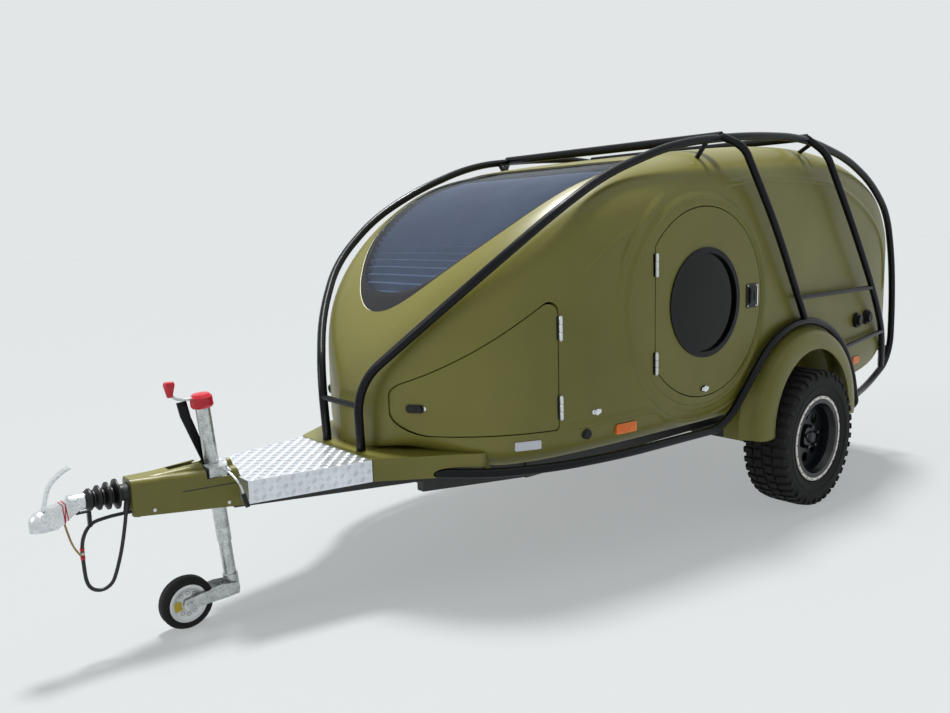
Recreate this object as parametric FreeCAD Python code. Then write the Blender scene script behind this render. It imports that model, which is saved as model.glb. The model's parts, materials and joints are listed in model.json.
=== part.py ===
# Off-road teardrop trailer with a tubular outer frame, parked on its jockey wheel.
# Millimetres. +X to the hitch, +Y to the trailer's left, +Z up. Lengths along X are
# measured from the axle; the finished part is shifted so that its origin lies on the
# ground below the middle of its whole length.
import FreeCAD, Part
import os
from math import acos, atan, atan2, cos, degrees, pi, radians, sin, sqrt, tan

V = FreeCAD.Vector
UP = V(0, 0, 1)
ACROSS = V(0, 1, 0)
AHEAD = V(1, 0, 0)

# reach of the whole trailer from the axle
hitchReach = 3455.0

# body moulding
roofHeight = 1853.0
bodyHalfWidth = 787.0
floorHeight = 480.0
bodyFront = 2190.0
bodyRear = 1350.0
wallThickness = 30.0
shoulderPower = 7.0
sillPower = 7.0
panelGap = 5.0
seatGap = 0.3

# ledge round the foot of the nose
ledgeHeight = floorHeight + 94.0
ledgeDepth = 92.0
ledgeFront = 2279.0
ledgeHalfWidth = 282.0
ledgeSkin = 12.0

# doors
doorCentreX = 770.0
doorCentreZ = floorHeight + 623.0
doorRadius = 435.0
doorHingeOffset = 345.0
doorWindowRadius = 225.0
windowRimWidth = 25.0
glassThickness = 5.0

# storage hatches in the nose
hatchRearX = 1622.0
hatchLowZ = floorHeight + 160.0
hatchTipZ = floorHeight + 700.0
hatchNoseX = 2150.0
lidSkin = 8.0
lidDepth = 24.0
lidStep = 24.0
hatchNoseZ = floorHeight + 400.0

# hinges
hingeRadius = 7.0
pinRadius = 3.5
runningFit = 0.08
barrelLength = 96.0
doorHingeHeights = (doorCentreZ - 241.0, doorCentreZ + 185.0)
hatchHingeHeights = (hatchLowZ + 95.0, hatchTipZ - 120.0)
tailgateHingeY = 320.0

# tailgate
tailgateHalfWidth = bodyHalfWidth - 287.0
tailgateTopX = 880.0
tailgateLowZ = floorHeight + 250.0

# front window, seen from above
windowTipX = 2050.0
windowTopX = 985.0
windowHalfWidth = bodyHalfWidth - 212.0

# inside
boardThickness = 12.0
partitionX = 1560.0
galleyX = 720.0
worktopHeight = floorHeight + 470.0
mattressThickness = 130.0

# road wheels
tyreRadius = 355.0
tyreWidth = 235.0
wheelTrack = 2.0 * bodyHalfWidth + 76.0
rimRadius = 200.0
wellRadius = 425.0
wellInnerY = bodyHalfWidth - 147.0
wellCentreZ = floorHeight - 35.0
flareLipRadius = 368.0
flareRootRadius = 498.0
flareReach = 118.0
flareSkin = 8.0

# outer frame
railRadius = 19.0
barRadius = 12.5
archRadius = 585.0
archCentreZ = floorHeight - 118.0
roofFootY = bodyHalfWidth - 137.0

# chassis
chassisRailY = 450.0
chassisRailWidth = 50.0
chassisTop = floorHeight - 0.8
chassisRailHeight = 80.0
axleBeamX = 190.0
drawbarTop = floorHeight + 65.0
drawbarHeight = 100.0
drawbarTipX = 2770.0
drawbarTipY = 62.0

# tread plate box and hitch cover
boxRearX = ledgeFront + seatGap
boxFrontX = 2760.0
boxTop = drawbarTop + 25.0
boxFrontHalfWidth = 190.0
sheetThickness = 3.0
coverRearX = 2722.0
coverFrontX = 3130.0
coverRearHalfWidth = 118.0
coverFrontHalfWidth = 52.0
coverTop = drawbarTop + 69.0
coverSkin = 4.0

# overrun hitch
couplingHeight = drawbarTop + 27.0
shaftRadius = 22.0
housingRadius = 30.0
cheekY = 34.0
cheekTop = couplingHeight - 16.0
bellowsRearX = 3150.0
bellowsPleats = 4
neckRearX = 3279.0
slideGap = 0.08
cableRadius = 6.5
strapRadius = 3.5
ballRadius = 25.25
ballCentreX = 3420.0
ballCentreZ = couplingHeight - 48.0

# jack and jockey wheel
jackFootX = 2771.0
jackLean = 5.0
jackTubeRadius = 27.0
jackLegRadius = 23.9
jackTop = couplingHeight + 260.0
jackTubeBottom = 300.0
jackTravel = 130.0
jackLegBottom = 118.0
jockeyRadius = 100.0
jockeyWidth = 60.0
jockeyX = 2954.0

# rear steadies
steadyPivotX = 770.0
steadyDrop = 52.0
steadyY = chassisRailY + 95.0
steadyLength = 360.0
steadyPivotZ = floorHeight - 95.0

doorHingeX = doorCentreX + doorHingeOffset - panelGap / 2.0
railTailX = bodyRear + 36.0
tailReach = railTailX + railRadius
midLength = (hitchReach - tailReach) / 2.0
wheelY = wheelTrack / 2.0
os.makedirs("parts", exist_ok=True)


def box(x0, x1, y0, y1, z0, z1):
    return Part.makeBox(x1 - x0, y1 - y0, z1 - z0, V(x0, y0, z0))


def rod(start, end, radius):
    return Part.makeCylinder(radius, (end - start).Length, start, end - start)


def fused(shapes):
    return shapes[0].multiFuse(shapes[1:]).removeSplitter()


def mirrored(shape):
    return shape.mirror(V(0, 0, 0), ACROSS)


def bothSides(shape):
    return Part.makeCompound([shape, mirrored(shape)])


def turned(profile, centre, axis, angle=360.0):
    return Part.Face(Part.makePolygon(profile + [profile[0]])).revolve(centre, axis, angle)


def prism(points, direction):
    return Part.Face(Part.makePolygon(points + [points[0]])).extrude(direction)


def roundedLoop(corners, radii):
    """Closed wire through the corners, each corner rounded to its own radius."""
    edges, ends = [], []
    for i, corner in enumerate(corners):
        before = (corners[i - 1] - corner).normalize()
        after = (corners[(i + 1) % len(corners)] - corner).normalize()
        half = acos(max(-1.0, min(1.0, before.dot(after)))) / 2.0
        reach = radii[i] / tan(half)
        middle = corner + (before + after).normalize() * (radii[i] / sin(half) - radii[i])
        ends.append((corner + before * reach, middle, corner + after * reach))
    for i, (start, middle, end) in enumerate(ends):
        edges.append(Part.Arc(start, middle, end).toShape())
        edges.append(Part.makeLine(end, ends[(i + 1) % len(ends)][0]))
    return Part.Wire(edges)


def bentPath(points):
    """Straight runs joined by arcs as large as the runs beside each corner allow."""
    edges, last = [], points[0]
    for i in range(1, len(points) - 1):
        before = points[i - 1] - points[i]
        after = points[i + 1] - points[i]
        trim = 0.45 * min(before.Length, after.Length)
        before.normalize()
        after.normalize()
        half = acos(max(-1.0, min(1.0, before.dot(after)))) / 2.0
        radius = trim * tan(half)
        start, end = points[i] + before * trim, points[i] + after * trim
        middle = points[i] + (before + after).normalize() * (radius / sin(half) - radius)
        edges += [Part.makeLine(last, start), Part.Arc(start, middle, end).toShape()]
        last = end
    edges.append(Part.makeLine(last, points[-1]))
    return Part.Wire(edges)


def bentTube(points, radius):
    path = bentPath(points)
    ring = Part.Wire(Part.makeCircle(radius, points[0], points[1] - points[0]))
    return path.makePipeShell([ring], True, True)


def smoothLine(points):
    curve = Part.BSplineCurve()
    curve.interpolate([V(x, value, 0) for x, value in points])
    return curve


def valueAt(curve, x):
    low, high = curve.FirstParameter, curve.LastParameter
    for step in range(36):
        middle = (low + high) / 2.0
        if curve.value(middle).x < x:
            low = middle
        else:
            high = middle
    return curve.value(low).y


# The body is given by three lines along X: its crest, its greatest half width and
# its underside.
crestLine = smoothLine([
    (-bodyRear, roofHeight - 1000), (-bodyRear + 50, roofHeight - 600),
    (-bodyRear + 250, roofHeight - 264), (-600, roofHeight - 42), (-150, roofHeight),
    (430, roofHeight - 29), (950, roofHeight - 92), (1311, roofHeight - 173),
    (1541, roofHeight - 280), (1884, roofHeight - 536), (bodyFront - 90, roofHeight - 808),
    (bodyFront, roofHeight - 1050)])
planLine = smoothLine([
    (-bodyRear, bodyHalfWidth - 330), (-bodyRear + 100, bodyHalfWidth - 130),
    (-950, bodyHalfWidth - 38), (-300, bodyHalfWidth - 2), (400, bodyHalfWidth),
    (1150, bodyHalfWidth - 32), (1600, bodyHalfWidth - 105), (1874, bodyHalfWidth - 225),
    (bodyFront - 120, bodyHalfWidth - 420), (bodyFront - 30, bodyHalfWidth - 590),
    (bodyFront, bodyHalfWidth - 690)])
underLine = smoothLine([
    (-bodyRear, floorHeight + 210), (-1150, floorHeight + 95), (-700, floorHeight + 5),
    (-400, floorHeight), (600, floorHeight), (1750, floorHeight), (1900, floorHeight + 25),
    (2000, floorHeight + 78), (bodyFront, floorHeight + 85)])
stations = [-bodyRear, -bodyRear + 25, -bodyRear + 70, -bodyRear + 150, -bodyRear + 280,
            -850, -550, -200, 200, 600, 1000, 1300, 1541, 1736, 1884, 1995,
            bodyFront - 110, bodyFront - 60, bodyFront - 25, bodyFront]
sectionPoints = 36


def halfWidth(x):
    return valueAt(planLine, x)


def crest(x):
    return valueAt(crestLine, x)


def underside(x):
    return max(floorHeight, valueAt(underLine, x))


def widestZ(x):
    under = underside(x)
    share = 0.36 + 0.06 * max(0.0, min(1.0, (1900.0 - x) / 1200.0))
    return under + share * (crest(x) - under)


def sideY(x, z):
    """Where the outer skin lies across the trailer, at a height."""
    middle = widestZ(x)
    if z > middle:
        share, power = (z - middle) / (crest(x) - middle), shoulderPower
    else:
        share, power = (middle - z) / (middle - underside(x)), sillPower
    return halfWidth(x) * (1.0 - min(1.0, share) ** power) ** (1.0 / power)


def roofZ(x, y):
    middle = widestZ(x)
    share = min(1.0, abs(y) / halfWidth(x)) ** shoulderPower
    return middle + (crest(x) - middle) * (1.0 - share) ** (1.0 / shoulderPower)


def bodySection(x, at, inset):
    width = halfWidth(x) - inset
    middle = widestZ(x)
    above = crest(x) - inset - middle
    below = middle - underside(x) - inset
    points = []
    for i in range(sectionPoints):
        angle = 2.0 * pi * i / sectionPoints - pi / 2.0
        height, power = (above, shoulderPower) if sin(angle) > 0 else (below, sillPower)
        reach = (abs(cos(angle) / width) ** power + abs(sin(angle) / height) ** power) ** (-1.0 / power)
        points.append(V(at, reach * cos(angle), middle + reach * sin(angle)))
    loop = Part.BSplineCurve()
    loop.interpolate(Points=points, PeriodicFlag=True,
                     Parameters=[float(i) for i in range(sectionPoints + 1)])
    return Part.Wire(loop.toShape())


def bodyForm(inset):
    """The body's outer form, drawn in by a wall or let out by a clearance."""
    middle = (bodyFront - bodyRear) / 2.0
    length = (bodyFront + bodyRear) / 2.0
    shrink = (length - inset) / length
    sections = [bodySection(x, middle + (x - middle) * shrink, inset) for x in stations]
    return Part.makeLoft(sections, True, False)


outerForm = bodyForm(0.0)
innerForm = bodyForm(wallThickness)
linerForm = bodyForm(wallThickness + seatGap)
seatForm = bodyForm(-seatGap)
rimForm = bodyForm(-6.0)
glassForm = bodyForm(9.0)
glassBackForm = bodyForm(9.0 + glassThickness)
windowBackForm = bodyForm(glassThickness)
blindBackForm = bodyForm(wallThickness + 6.0)
lidSkinForm = bodyForm(lidSkin)
lidBackForm = bodyForm(lidDepth)


def doorLoop(inset):
    """Round door outline, cut straight along its hinge edge."""
    radius, chord, corner = doorRadius - inset, doorHingeOffset - inset, 25.0 - inset
    rise = sqrt((radius - corner) ** 2 - (chord - corner) ** 2)
    tilt = atan2(rise, chord - corner)

    def at(reach, angle, side):
        return V(doorCentreX + reach * cos(angle), 0, doorCentreZ + side * reach * sin(angle))

    arcs, ends = [], []
    for side in (1, -1):
        onRing, onChord = at(radius, tilt, side), V(doorCentreX + chord, 0, doorCentreZ + side * rise)
        middle = onChord + V(corner * (cos(tilt / 2.0) - 1.0), 0, side * corner * sin(tilt / 2.0))
        arcs.append(Part.Arc(onChord, middle, onRing).toShape())
        ends.append((onRing, onChord))
    hinge = Part.makeLine(ends[1][1], ends[0][1])
    ring = Part.Arc(ends[0][0], at(-radius, 0, 1), ends[1][0]).toShape()
    return Part.Wire([hinge, arcs[0], ring, arcs[1]])


def hatchLoop(inset):
    """Outline of a side hatch: upright at its hinge, slanted along the top."""
    slope = (hatchNoseZ - hatchTipZ - 65.0) / (hatchNoseX - hatchRearX)

    def top(x):
        return hatchTipZ + 25.0 + slope * (x - hatchRearX) - inset * sqrt(1.0 + slope * slope)

    rear, nose, low = hatchRearX + inset, hatchNoseX - inset, hatchLowZ + inset
    corners = [V(rear, 0, low), V(nose, 0, low), V(nose, 0, top(nose)), V(rear, 0, top(rear))]
    return roundedLoop(corners, [18.0, 95.0, 70.0, 40.0])


def tailgateLoop(inset):
    top = crest(-tailgateTopX)
    half = tailgateHalfWidth - inset
    corners = [V(0, -half, tailgateLowZ + inset), V(0, half, tailgateLowZ + inset),
               V(0, half, top - inset), V(0, -half, top - inset)]
    return roundedLoop(corners, [90.0, 90.0, 26.0, 26.0])


def windowLoop(inset):
    """Shield shaped front window, seen from above."""
    tip, top, half = windowTipX - inset, windowTopX + inset, windowHalfWidth - inset
    side = [V(tip, 0, 0), V(tip - 22, 130, 0), V(tip - 165, 335, 0),
            V(tip - 370, 478, 0), V(tip - 700, half - 12, 0), V(top + 60, half, 0)]
    curve = Part.BSplineCurve()
    curve.interpolate(Points=side, InitialTangent=V(0, 1, 0), FinalTangent=V(-1, 0, 0))
    corner = Part.Arc(V(top + 60, half, 0), V(top + 17.6, half - 17.6, 0), V(top, half - 60, 0))
    edges = [curve.toShape(), corner.toShape()]
    other = [edge.mirror(V(0, 0, 0), ACROSS) for edge in edges]
    cap = Part.makeLine(V(top, half - 60, 0), V(top, 60 - half, 0))
    return Part.Wire(Part.sortEdges(edges + other + [cap])[0])


def sideCut(loop):
    return Part.Face(loop).extrude(V(0, 1000, 0))


def rearCut(loop):
    solid = Part.Face(loop).extrude(V(600, 0, 0))
    solid.translate(V(-tailgateTopX - 600, 0, 0))
    return solid


def windowCut(loop):
    solid = Part.Face(loop).extrude(V(0, 0, 1200))
    solid.translate(V(0, 0, 900))
    return solid


def ledge():
    """Hollow ledge round the foot of the nose, open below and let out round the sill tube."""
    def plan(inset, low, high):
        half = [V(ledgeFront - inset, ledgeHalfWidth - inset, low),
                V(1995, halfWidth(1995) + 14 - inset, low),
                V(1910, halfWidth(1910) + 4 - inset, low), V(1830, halfWidth(1830) - 110 - inset, low)]
        other = [V(p.x, -p.y, p.z) for p in reversed(half)]
        return Part.Face(roundedLoop(half + other, [26, 200, 24, 20, 20, 24, 200, 26])).extrude(
            V(0, 0, high - low))
    low = ledgeHeight - ledgeDepth
    tube = bentTube(sillRun(), railRadius + 6.0)
    block = plan(0, low, ledgeHeight).cut(plan(ledgeSkin, low - 1, ledgeHeight - ledgeSkin))
    return block.cut(tube).cut(mirrored(tube))


def bodyHalf():
    """Left half of the hollow body moulding, bonded to its mirror on the middle line."""
    well = Part.makeCylinder(wellRadius, 600, V(0, wellInnerY, wellCentreZ), ACROSS)
    liner = Part.makeCylinder(wellRadius + ledgeSkin, 600, V(0, wellInnerY - ledgeSkin, wellCentreZ), ACROSS)
    shell = outerForm.cut(innerForm).fuse(liner.common(outerForm))
    shell = shell.fuse(ledge().cut(innerForm))
    for tool in (well, sideCut(doorLoop(0)), sideCut(hatchLoop(0)), rearCut(tailgateLoop(0)),
                 windowCut(windowLoop(0))):
        shell = shell.cut(tool)
    slot = box(1500, 2400, 0, 900, 0, drawbarTop + 3).common(drawbarSlots())
    return shell.common(box(-3000, 3000, 0, 2000, 0, 3000)).cut(slot)


def drawbarLine(x):
    share = (x - 1600.0) / (drawbarTipX - 1600.0)
    return chassisRailY + (drawbarTipY - chassisRailY) * share


def slantRail(x0, x1, low, high, width):
    half = width / 2.0
    points = [V(x0, drawbarLine(x0) - half, low), V(x1, drawbarLine(x1) - half, low),
              V(x1, drawbarLine(x1) + half, low), V(x0, drawbarLine(x0) + half, low)]
    return prism(points, V(0, 0, high - low))


def drawbarSlots():
    return slantRail(2100, 2400, drawbarTop - drawbarHeight - 5, drawbarTop + 3, 46)


def chassis():
    low = chassisTop - chassisRailHeight
    half = chassisRailWidth / 2.0
    left = [box(-1150, 1625, chassisRailY - half, chassisRailY + half, low, chassisTop),
            slantRail(1600, 2060, low, chassisTop, 40),
            slantRail(2015, drawbarTipX, drawbarTop - drawbarHeight, drawbarTop, 40)]
    across = [box(x - 20, x + 20, -chassisRailY, chassisRailY, low + 20, chassisTop)
              for x in (-1125, -420, 900, 1590)]
    across.append(box(2030, 2060, -drawbarLine(2045), drawbarLine(2045), low + 30, chassisTop))
    across.append(box(2700, 2740, -drawbarTipY, drawbarTipY, drawbarTop - 60, drawbarTop))
    for x in (boxRearX + 40, boxFrontX - 120):
        across.append(box(x - 20, x + 20, -drawbarLine(x), drawbarLine(x), drawbarTop - 45,
                          boxTop - sheetThickness - seatGap))
    across += cheeks() + [steadyBracket(), mirrored(steadyBracket())]
    return fused(left + [mirrored(s) for s in left] + across)


def axleBeam():
    low, reach = chassisTop - chassisRailHeight - 70, wheelY - 170.0
    return box(axleBeamX - 35, axleBeamX + 35, -reach, reach, low, low + 69.7)


def trailingArm():
    """Arm from the axle beam to the hub, with its brake plate and stub."""
    pivotZ, inner = chassisTop - chassisRailHeight - 35, wheelY - 175.0
    arm = prism([V(axleBeamX + 38, inner, pivotZ - 38), V(axleBeamX + 38, inner, pivotZ + 38),
                 V(axleBeamX - 40, inner, pivotZ + 42), V(-38, inner, tyreRadius + 34),
                 V(-38, inner, tyreRadius - 34), V(axleBeamX - 40, inner, pivotZ - 42)], V(0, 31, 0))
    hub = V(0, inner + 31.0, tyreRadius)
    return fused([arm, Part.makeCylinder(38, 20, hub - V(0, 2, 0), ACROSS),
                  Part.makeCylinder(118, 4, hub + V(0, 14, 0), ACROSS),
                  Part.makeCylinder(18, 76, hub + V(0, 16, 0), ACROSS)])


def brakeDrum():
    """Drum and hub that turn with the wheel, on the stub of the arm."""
    inner = wheelY - 125.0
    profile = [V(18.2, inner, 0), V(112, inner, 0), V(112, inner + 52, 0), V(74, inner + 60, 0),
               V(74, wheelY + 25, 0), V(32.3, wheelY + 25, 0), V(32.3, wheelY + 52, 0),
               V(0, wheelY + 52, 0), V(0, inner + 75, 0), V(18.2, inner + 75, 0)]
    drum = turned(profile, V(0, 0, 0), ACROSS)
    drum.translate(V(0, 0, tyreRadius))
    return drum


def rim():
    """Wheel with a drilled face, its flanges and the riveted ring round its lip."""
    half = tyreWidth / 2.0 - 17.0
    face = wheelY + 25.0
    lip = wheelY + half
    profile = [V(32.3, face, 0), V(150, face, 0), V(158, face - 20, 0), V(172, face - 26, 0),
               V(176, wheelY - half + 8, 0), V(rimRadius, wheelY - half + 2, 0),
               V(rimRadius, wheelY - half - 4, 0), V(rimRadius + 6, wheelY - half - 4, 0),
               V(rimRadius + 6, wheelY - half + 8, 0), V(182, wheelY - half + 14, 0),
               V(179, face - 14, 0), V(179, lip - 26, 0), V(rimRadius - 6, lip - 12, 0),
               V(rimRadius + 8, lip - 4, 0), V(rimRadius + 8, lip + 4, 0),
               V(rimRadius - 18, lip + 4, 0), V(rimRadius - 26, lip - 14, 0),
               V(168, lip - 26, 0), V(160, face + 8, 0), V(64, face + 8, 0), V(58, face + 34, 0),
               V(32.3, face + 34, 0)]
    wheel = turned(profile, V(0, 0, 0), ACROSS)
    for i in range(8):
        angle = 2.0 * pi * i / 8
        wheel = wheel.cut(Part.makeCylinder(27, 120, V(112 * cos(angle), wheelY, 112 * sin(angle)), ACROSS))
    wheel.translate(V(0, 0, tyreRadius))
    return wheel


def tyre():
    half = tyreWidth / 2.0
    side = [V(rimRadius + 8.3, wheelY + half - 17, 0), V(rimRadius + 34, wheelY + half - 7, 0),
            V(tyreRadius - 78, wheelY + half, 0), V(tyreRadius - 40, wheelY + half - 4, 0),
            V(tyreRadius - 14, wheelY + half - 20, 0), V(tyreRadius, wheelY + half - 42, 0)]
    outline = side + [V(p.x, 2 * wheelY - p.y, 0) for p in reversed(side)]
    body = turned(outline, V(0, 0, 0), ACROSS)
    body.translate(V(0, 0, tyreRadius))
    return body


def fenderFlare():
    """Rounded flare over the wheel, seated on the body's side."""
    root, side, lip, thick = flareRootRadius, bodyHalfWidth, bodyHalfWidth + flareReach, flareSkin
    curve, inside = Part.BSplineCurve(), Part.BSplineCurve()
    curve.interpolate([V(root, side - 3, 0), V(root - 10, side + 12, 0), V(root - 22, side + 35, 0),
                       V(root - 28, side + 62, 0), V(root - 44, lip - 15, 0), V(root - 73, lip - 3, 0),
                       V(root - 103, lip, 0), V(flareLipRadius, lip - 2, 0)])
    inside.interpolate([V(root - thick, side - 3, 0), V(root - 30, side + 35, 0), V(root - 37, side + 62, 0),
                        V(root - 50, lip - 22, 0), V(root - 76, lip - 3 - thick, 0),
                        V(root - 103, lip - thick, 0), V(flareLipRadius, lip - 2 - thick, 0)])
    foot, heel = V(root, side - 87, 0), V(root - thick, side - 87, 0)
    edges = [Part.makeLine(foot, curve.StartPoint), curve.toShape(),
             Part.makeLine(curve.EndPoint, inside.EndPoint), inside.toShape(),
             Part.makeLine(inside.StartPoint, heel), Part.makeLine(heel, foot)]
    face = Part.Face(Part.Wire(Part.sortEdges(edges)[0]))
    flare = face.revolve(V(0, 0, 0), ACROSS, 188.0)
    flare.rotate(V(0, 0, 0), ACROSS, 176.0)
    flare.translate(V(0, 0, wellCentreZ))
    return flare.cut(seatForm)


def facing(shape, x, z):
    """Turn a piece drawn round the origin, facing +Y, to the left side's skin."""
    slope = (sideY(x + 5.0, z) - sideY(x - 5.0, z)) / 10.0
    shape.rotate(V(0, 0, 0), UP, degrees(atan(slope)))
    shape.translate(V(x, sideY(x, z), z))
    return shape


def onSide(shape, x, z):
    return facing(shape, x, z).cut(seatForm)


def plate(length, height, proud, corner):
    """Flat plate with rounded corners, standing proud of the skin."""
    a, b = length / 2.0, height / 2.0
    loop = roundedLoop([V(-a, -30, -b), V(a, -30, -b), V(a, -30, b), V(-a, -30, b)], [corner] * 4)
    return Part.Face(loop).extrude(V(0, 30 + proud, 0))


def doorPanel():
    panel = outerForm.common(sideCut(doorLoop(panelGap))).cut(innerForm)
    return panel.cut(rod(V(doorCentreX, 0, doorCentreZ), V(doorCentreX, 1000, doorCentreZ),
                         doorWindowRadius + 8.0))


def ringCut(outer, inner):
    centre, far = V(doorCentreX, 0, doorCentreZ), V(doorCentreX, 1000, doorCentreZ)
    return rod(centre, far, outer).cut(rod(centre, far, inner))


def doorRim():
    """Black rim of the round window, with a flange outside and a sleeve in the door."""
    flange = rimForm.common(ringCut(doorWindowRadius + windowRimWidth, doorWindowRadius)).cut(seatForm)
    sleeve = rimForm.common(ringCut(doorWindowRadius + 7.7, doorWindowRadius)).cut(innerForm)
    return flange.fuse(sleeve).removeSplitter()


def doorGlass():
    centre, far = V(doorCentreX, 0, doorCentreZ), V(doorCentreX, 1000, doorCentreZ)
    return glassForm.common(rod(centre, far, doorWindowRadius - seatGap)).cut(glassBackForm)


def hingeAxis(x):
    """Axis of an upright hinge, just proud of the skin along the whole edge."""
    proud = max(sideY(x, z) for z in (doorCentreZ - 280, doorCentreZ, doorCentreZ + 280))
    return V(x, proud + hingeRadius + 2.0, 0)


def hingeLeaf(axis, z, toward, fixed):
    """One leaf of a butt hinge: outer knuckles and pin if fixed, else the middle one."""
    spans = [(-48.0, -16.3), (16.3, 48.0)] if fixed else [(-16.0, 16.0)]
    pieces = [facing(plate(12, barrelLength, 1.6, 2), axis.x + toward * 7, z)]
    for low, high in spans:
        pieces.append(Part.makeCylinder(hingeRadius, high - low, V(axis.x, axis.y, z + low)))
        x0, x1 = sorted((axis.x, axis.x + toward * 7))
        pieces.append(box(x0, x1, axis.y - 40, axis.y, z + low, z + high))
    foot = V(axis.x, axis.y, z - barrelLength / 2.0)
    pin = Part.makeCylinder(pinRadius + (0 if fixed else runningFit), barrelLength, foot)
    leaf = fused(pieces).cut(seatForm)
    return leaf.fuse(pin).removeSplitter() if fixed else leaf.cut(pin)


def fixedHinges():
    door, hatch = hingeAxis(doorHingeX), hingeAxis(hatchRearX - panelGap / 2.0)
    leaves = [hingeLeaf(door, z, 1, True) for z in doorHingeHeights]
    leaves += [hingeLeaf(hatch, z, -1, True) for z in hatchHingeHeights]
    return Part.makeCompound(leaves)


def doorFittings():
    """Moving hinge leaves, the black latch plate with its paddle, and the low lock."""
    axis = hingeAxis(doorHingeX)
    pieces = [hingeLeaf(axis, z, -1, False) for z in doorHingeHeights]
    latch = plate(84, 114, 5, 9).fuse(plate(48, 76, 13, 6))
    pieces.append(onSide(latch, doorCentreX - doorRadius + 83, doorCentreZ + 7))
    lock = Part.makeCylinder(15, 38, V(0, -30, 0), ACROSS).fuse(plate(52, 20, 4, 9.5))
    pieces.append(onSide(lock, doorCentreX + 5, doorCentreZ - doorRadius + 38))
    return Part.makeCompound(pieces)


def hatchPanel():
    """Moulded lid: a flush skin with a narrower stiffening tray behind it."""
    skin = outerForm.common(sideCut(hatchLoop(panelGap))).cut(lidSkinForm)
    tray = lidSkinForm.common(sideCut(hatchLoop(panelGap + lidStep))).cut(lidBackForm)
    return skin.fuse(tray).removeSplitter()


def hatchFittings():
    axis = hingeAxis(hatchRearX - panelGap / 2.0)
    pieces = [hingeLeaf(axis, z, 1, False) for z in hatchHingeHeights]
    handle = plate(78, 34, 5, 15).fuse(Part.makeCylinder(11, 42, V(-22, -30, 0), ACROSS)).removeSplitter()
    pieces.append(onSide(handle, hatchNoseX - 55, hatchLowZ + 115))
    return Part.makeCompound(pieces)


def tailgatePanel():
    return outerForm.common(rearCut(tailgateLoop(panelGap))).cut(innerForm)


def tailgateAxis():
    x = -tailgateTopX + panelGap / 2.0
    return V(x, 0, crest(x) + hingeRadius + 3.0)


def roofLeaf(y, toward, fixed):
    axis = tailgateAxis()
    slope = atan((crest(axis.x + 5) - crest(axis.x - 5)) / 10.0)
    span = [(-48.0, -16.3), (16.3, 48.0)] if fixed else [(-16.0, 16.0)]
    leaf = box(min(10 * toward, 40 * toward), max(10 * toward, 40 * toward), -48, 48,
               -hingeRadius - 20, -hingeRadius + 0.5)
    pieces = [leaf]
    for low, high in span:
        pieces.append(Part.makeCylinder(hingeRadius, high - low, V(0, low, 0), ACROSS))
        x0, x1 = sorted((0, toward * 14))
        pieces.append(box(x0, x1, low, high, -hingeRadius - 12, -hingeRadius + 3))
    if fixed:
        pieces.append(Part.makeCylinder(pinRadius, 96, V(0, -48, 0), ACROSS))
    leaf = fused(pieces)
    if not fixed:
        leaf = leaf.cut(Part.makeCylinder(pinRadius + runningFit, 96, V(0, -48, 0), ACROSS))
    leaf.rotate(V(0, 0, 0), ACROSS, -degrees(slope))
    leaf.translate(axis + V(0, y, 0))
    return leaf.cut(seatForm)


def tailgateHinges():
    return Part.makeCompound([roofLeaf(y, 1, True) for y in (-tailgateHingeY, tailgateHingeY)])


def tailgateFittings():
    """Moving hinge leaves and the compression latch at the foot of the tailgate."""
    leaves = [roofLeaf(y, -1, False) for y in (-tailgateHingeY, tailgateHingeY)]
    latch = plate(110, 60, 6, 10).fuse(plate(60, 30, 12, 8))
    latch.rotate(V(0, 0, 0), UP, 90)
    latch.translate(V(-bodyRear, 0, tailgateLowZ + 75))
    return Part.makeCompound(leaves + [latch.cut(seatForm)])


def glazing():
    """Bent front window, flush with the skin."""
    return outerForm.common(windowCut(windowLoop(seatGap))).cut(windowBackForm)


def windowBlind():
    """Pleated blind behind the lower half of the front window, on the inner skin."""
    band = windowCut(windowLoop(-25.0)).common(box(1120, 3000, -900, 900, 900, 2200))
    return linerForm.common(band).cut(blindBackForm)


def insidePieces():
    """Storage partition, galley unit on the rear bulkhead, and mattress."""
    t = boardThickness
    top, nose = V(partitionX, -900, floorHeight + 742), V(bodyFront - 50, -900, floorHeight + 445)
    foot = V(partitionX, -900, floorHeight - 80)
    outline = [foot, foot + V(t, 0, 0), top + V(t, 0, -7), nose + V(0, 0, -t), nose, top]
    partition = prism(outline, V(0, 1800, 0)).common(linerForm)
    bulkhead = box(-galleyX - t, -galleyX, -900, 900, 400, 1900).common(linerForm)
    worktop = box(-1330, -galleyX, -900, 900, worktopHeight, worktopHeight + 24).common(linerForm)
    divider = box(-1240, -galleyX, -6, 6, 400, worktopHeight).common(linerForm)
    floor = floorHeight + wallThickness + seatGap
    loop = roundedLoop([V(-galleyX + 5, -600, floor), V(1240, -600, floor), V(1240, 600, floor),
                        V(-galleyX + 5, 600, floor)], [60] * 4)
    mattress = Part.Face(loop).extrude(V(0, 0, mattressThickness)).common(linerForm)
    return {"storage_partition": partition, "galley_unit": fused([bulkhead, worktop, divider]),
            "mattress": mattress}


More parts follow.
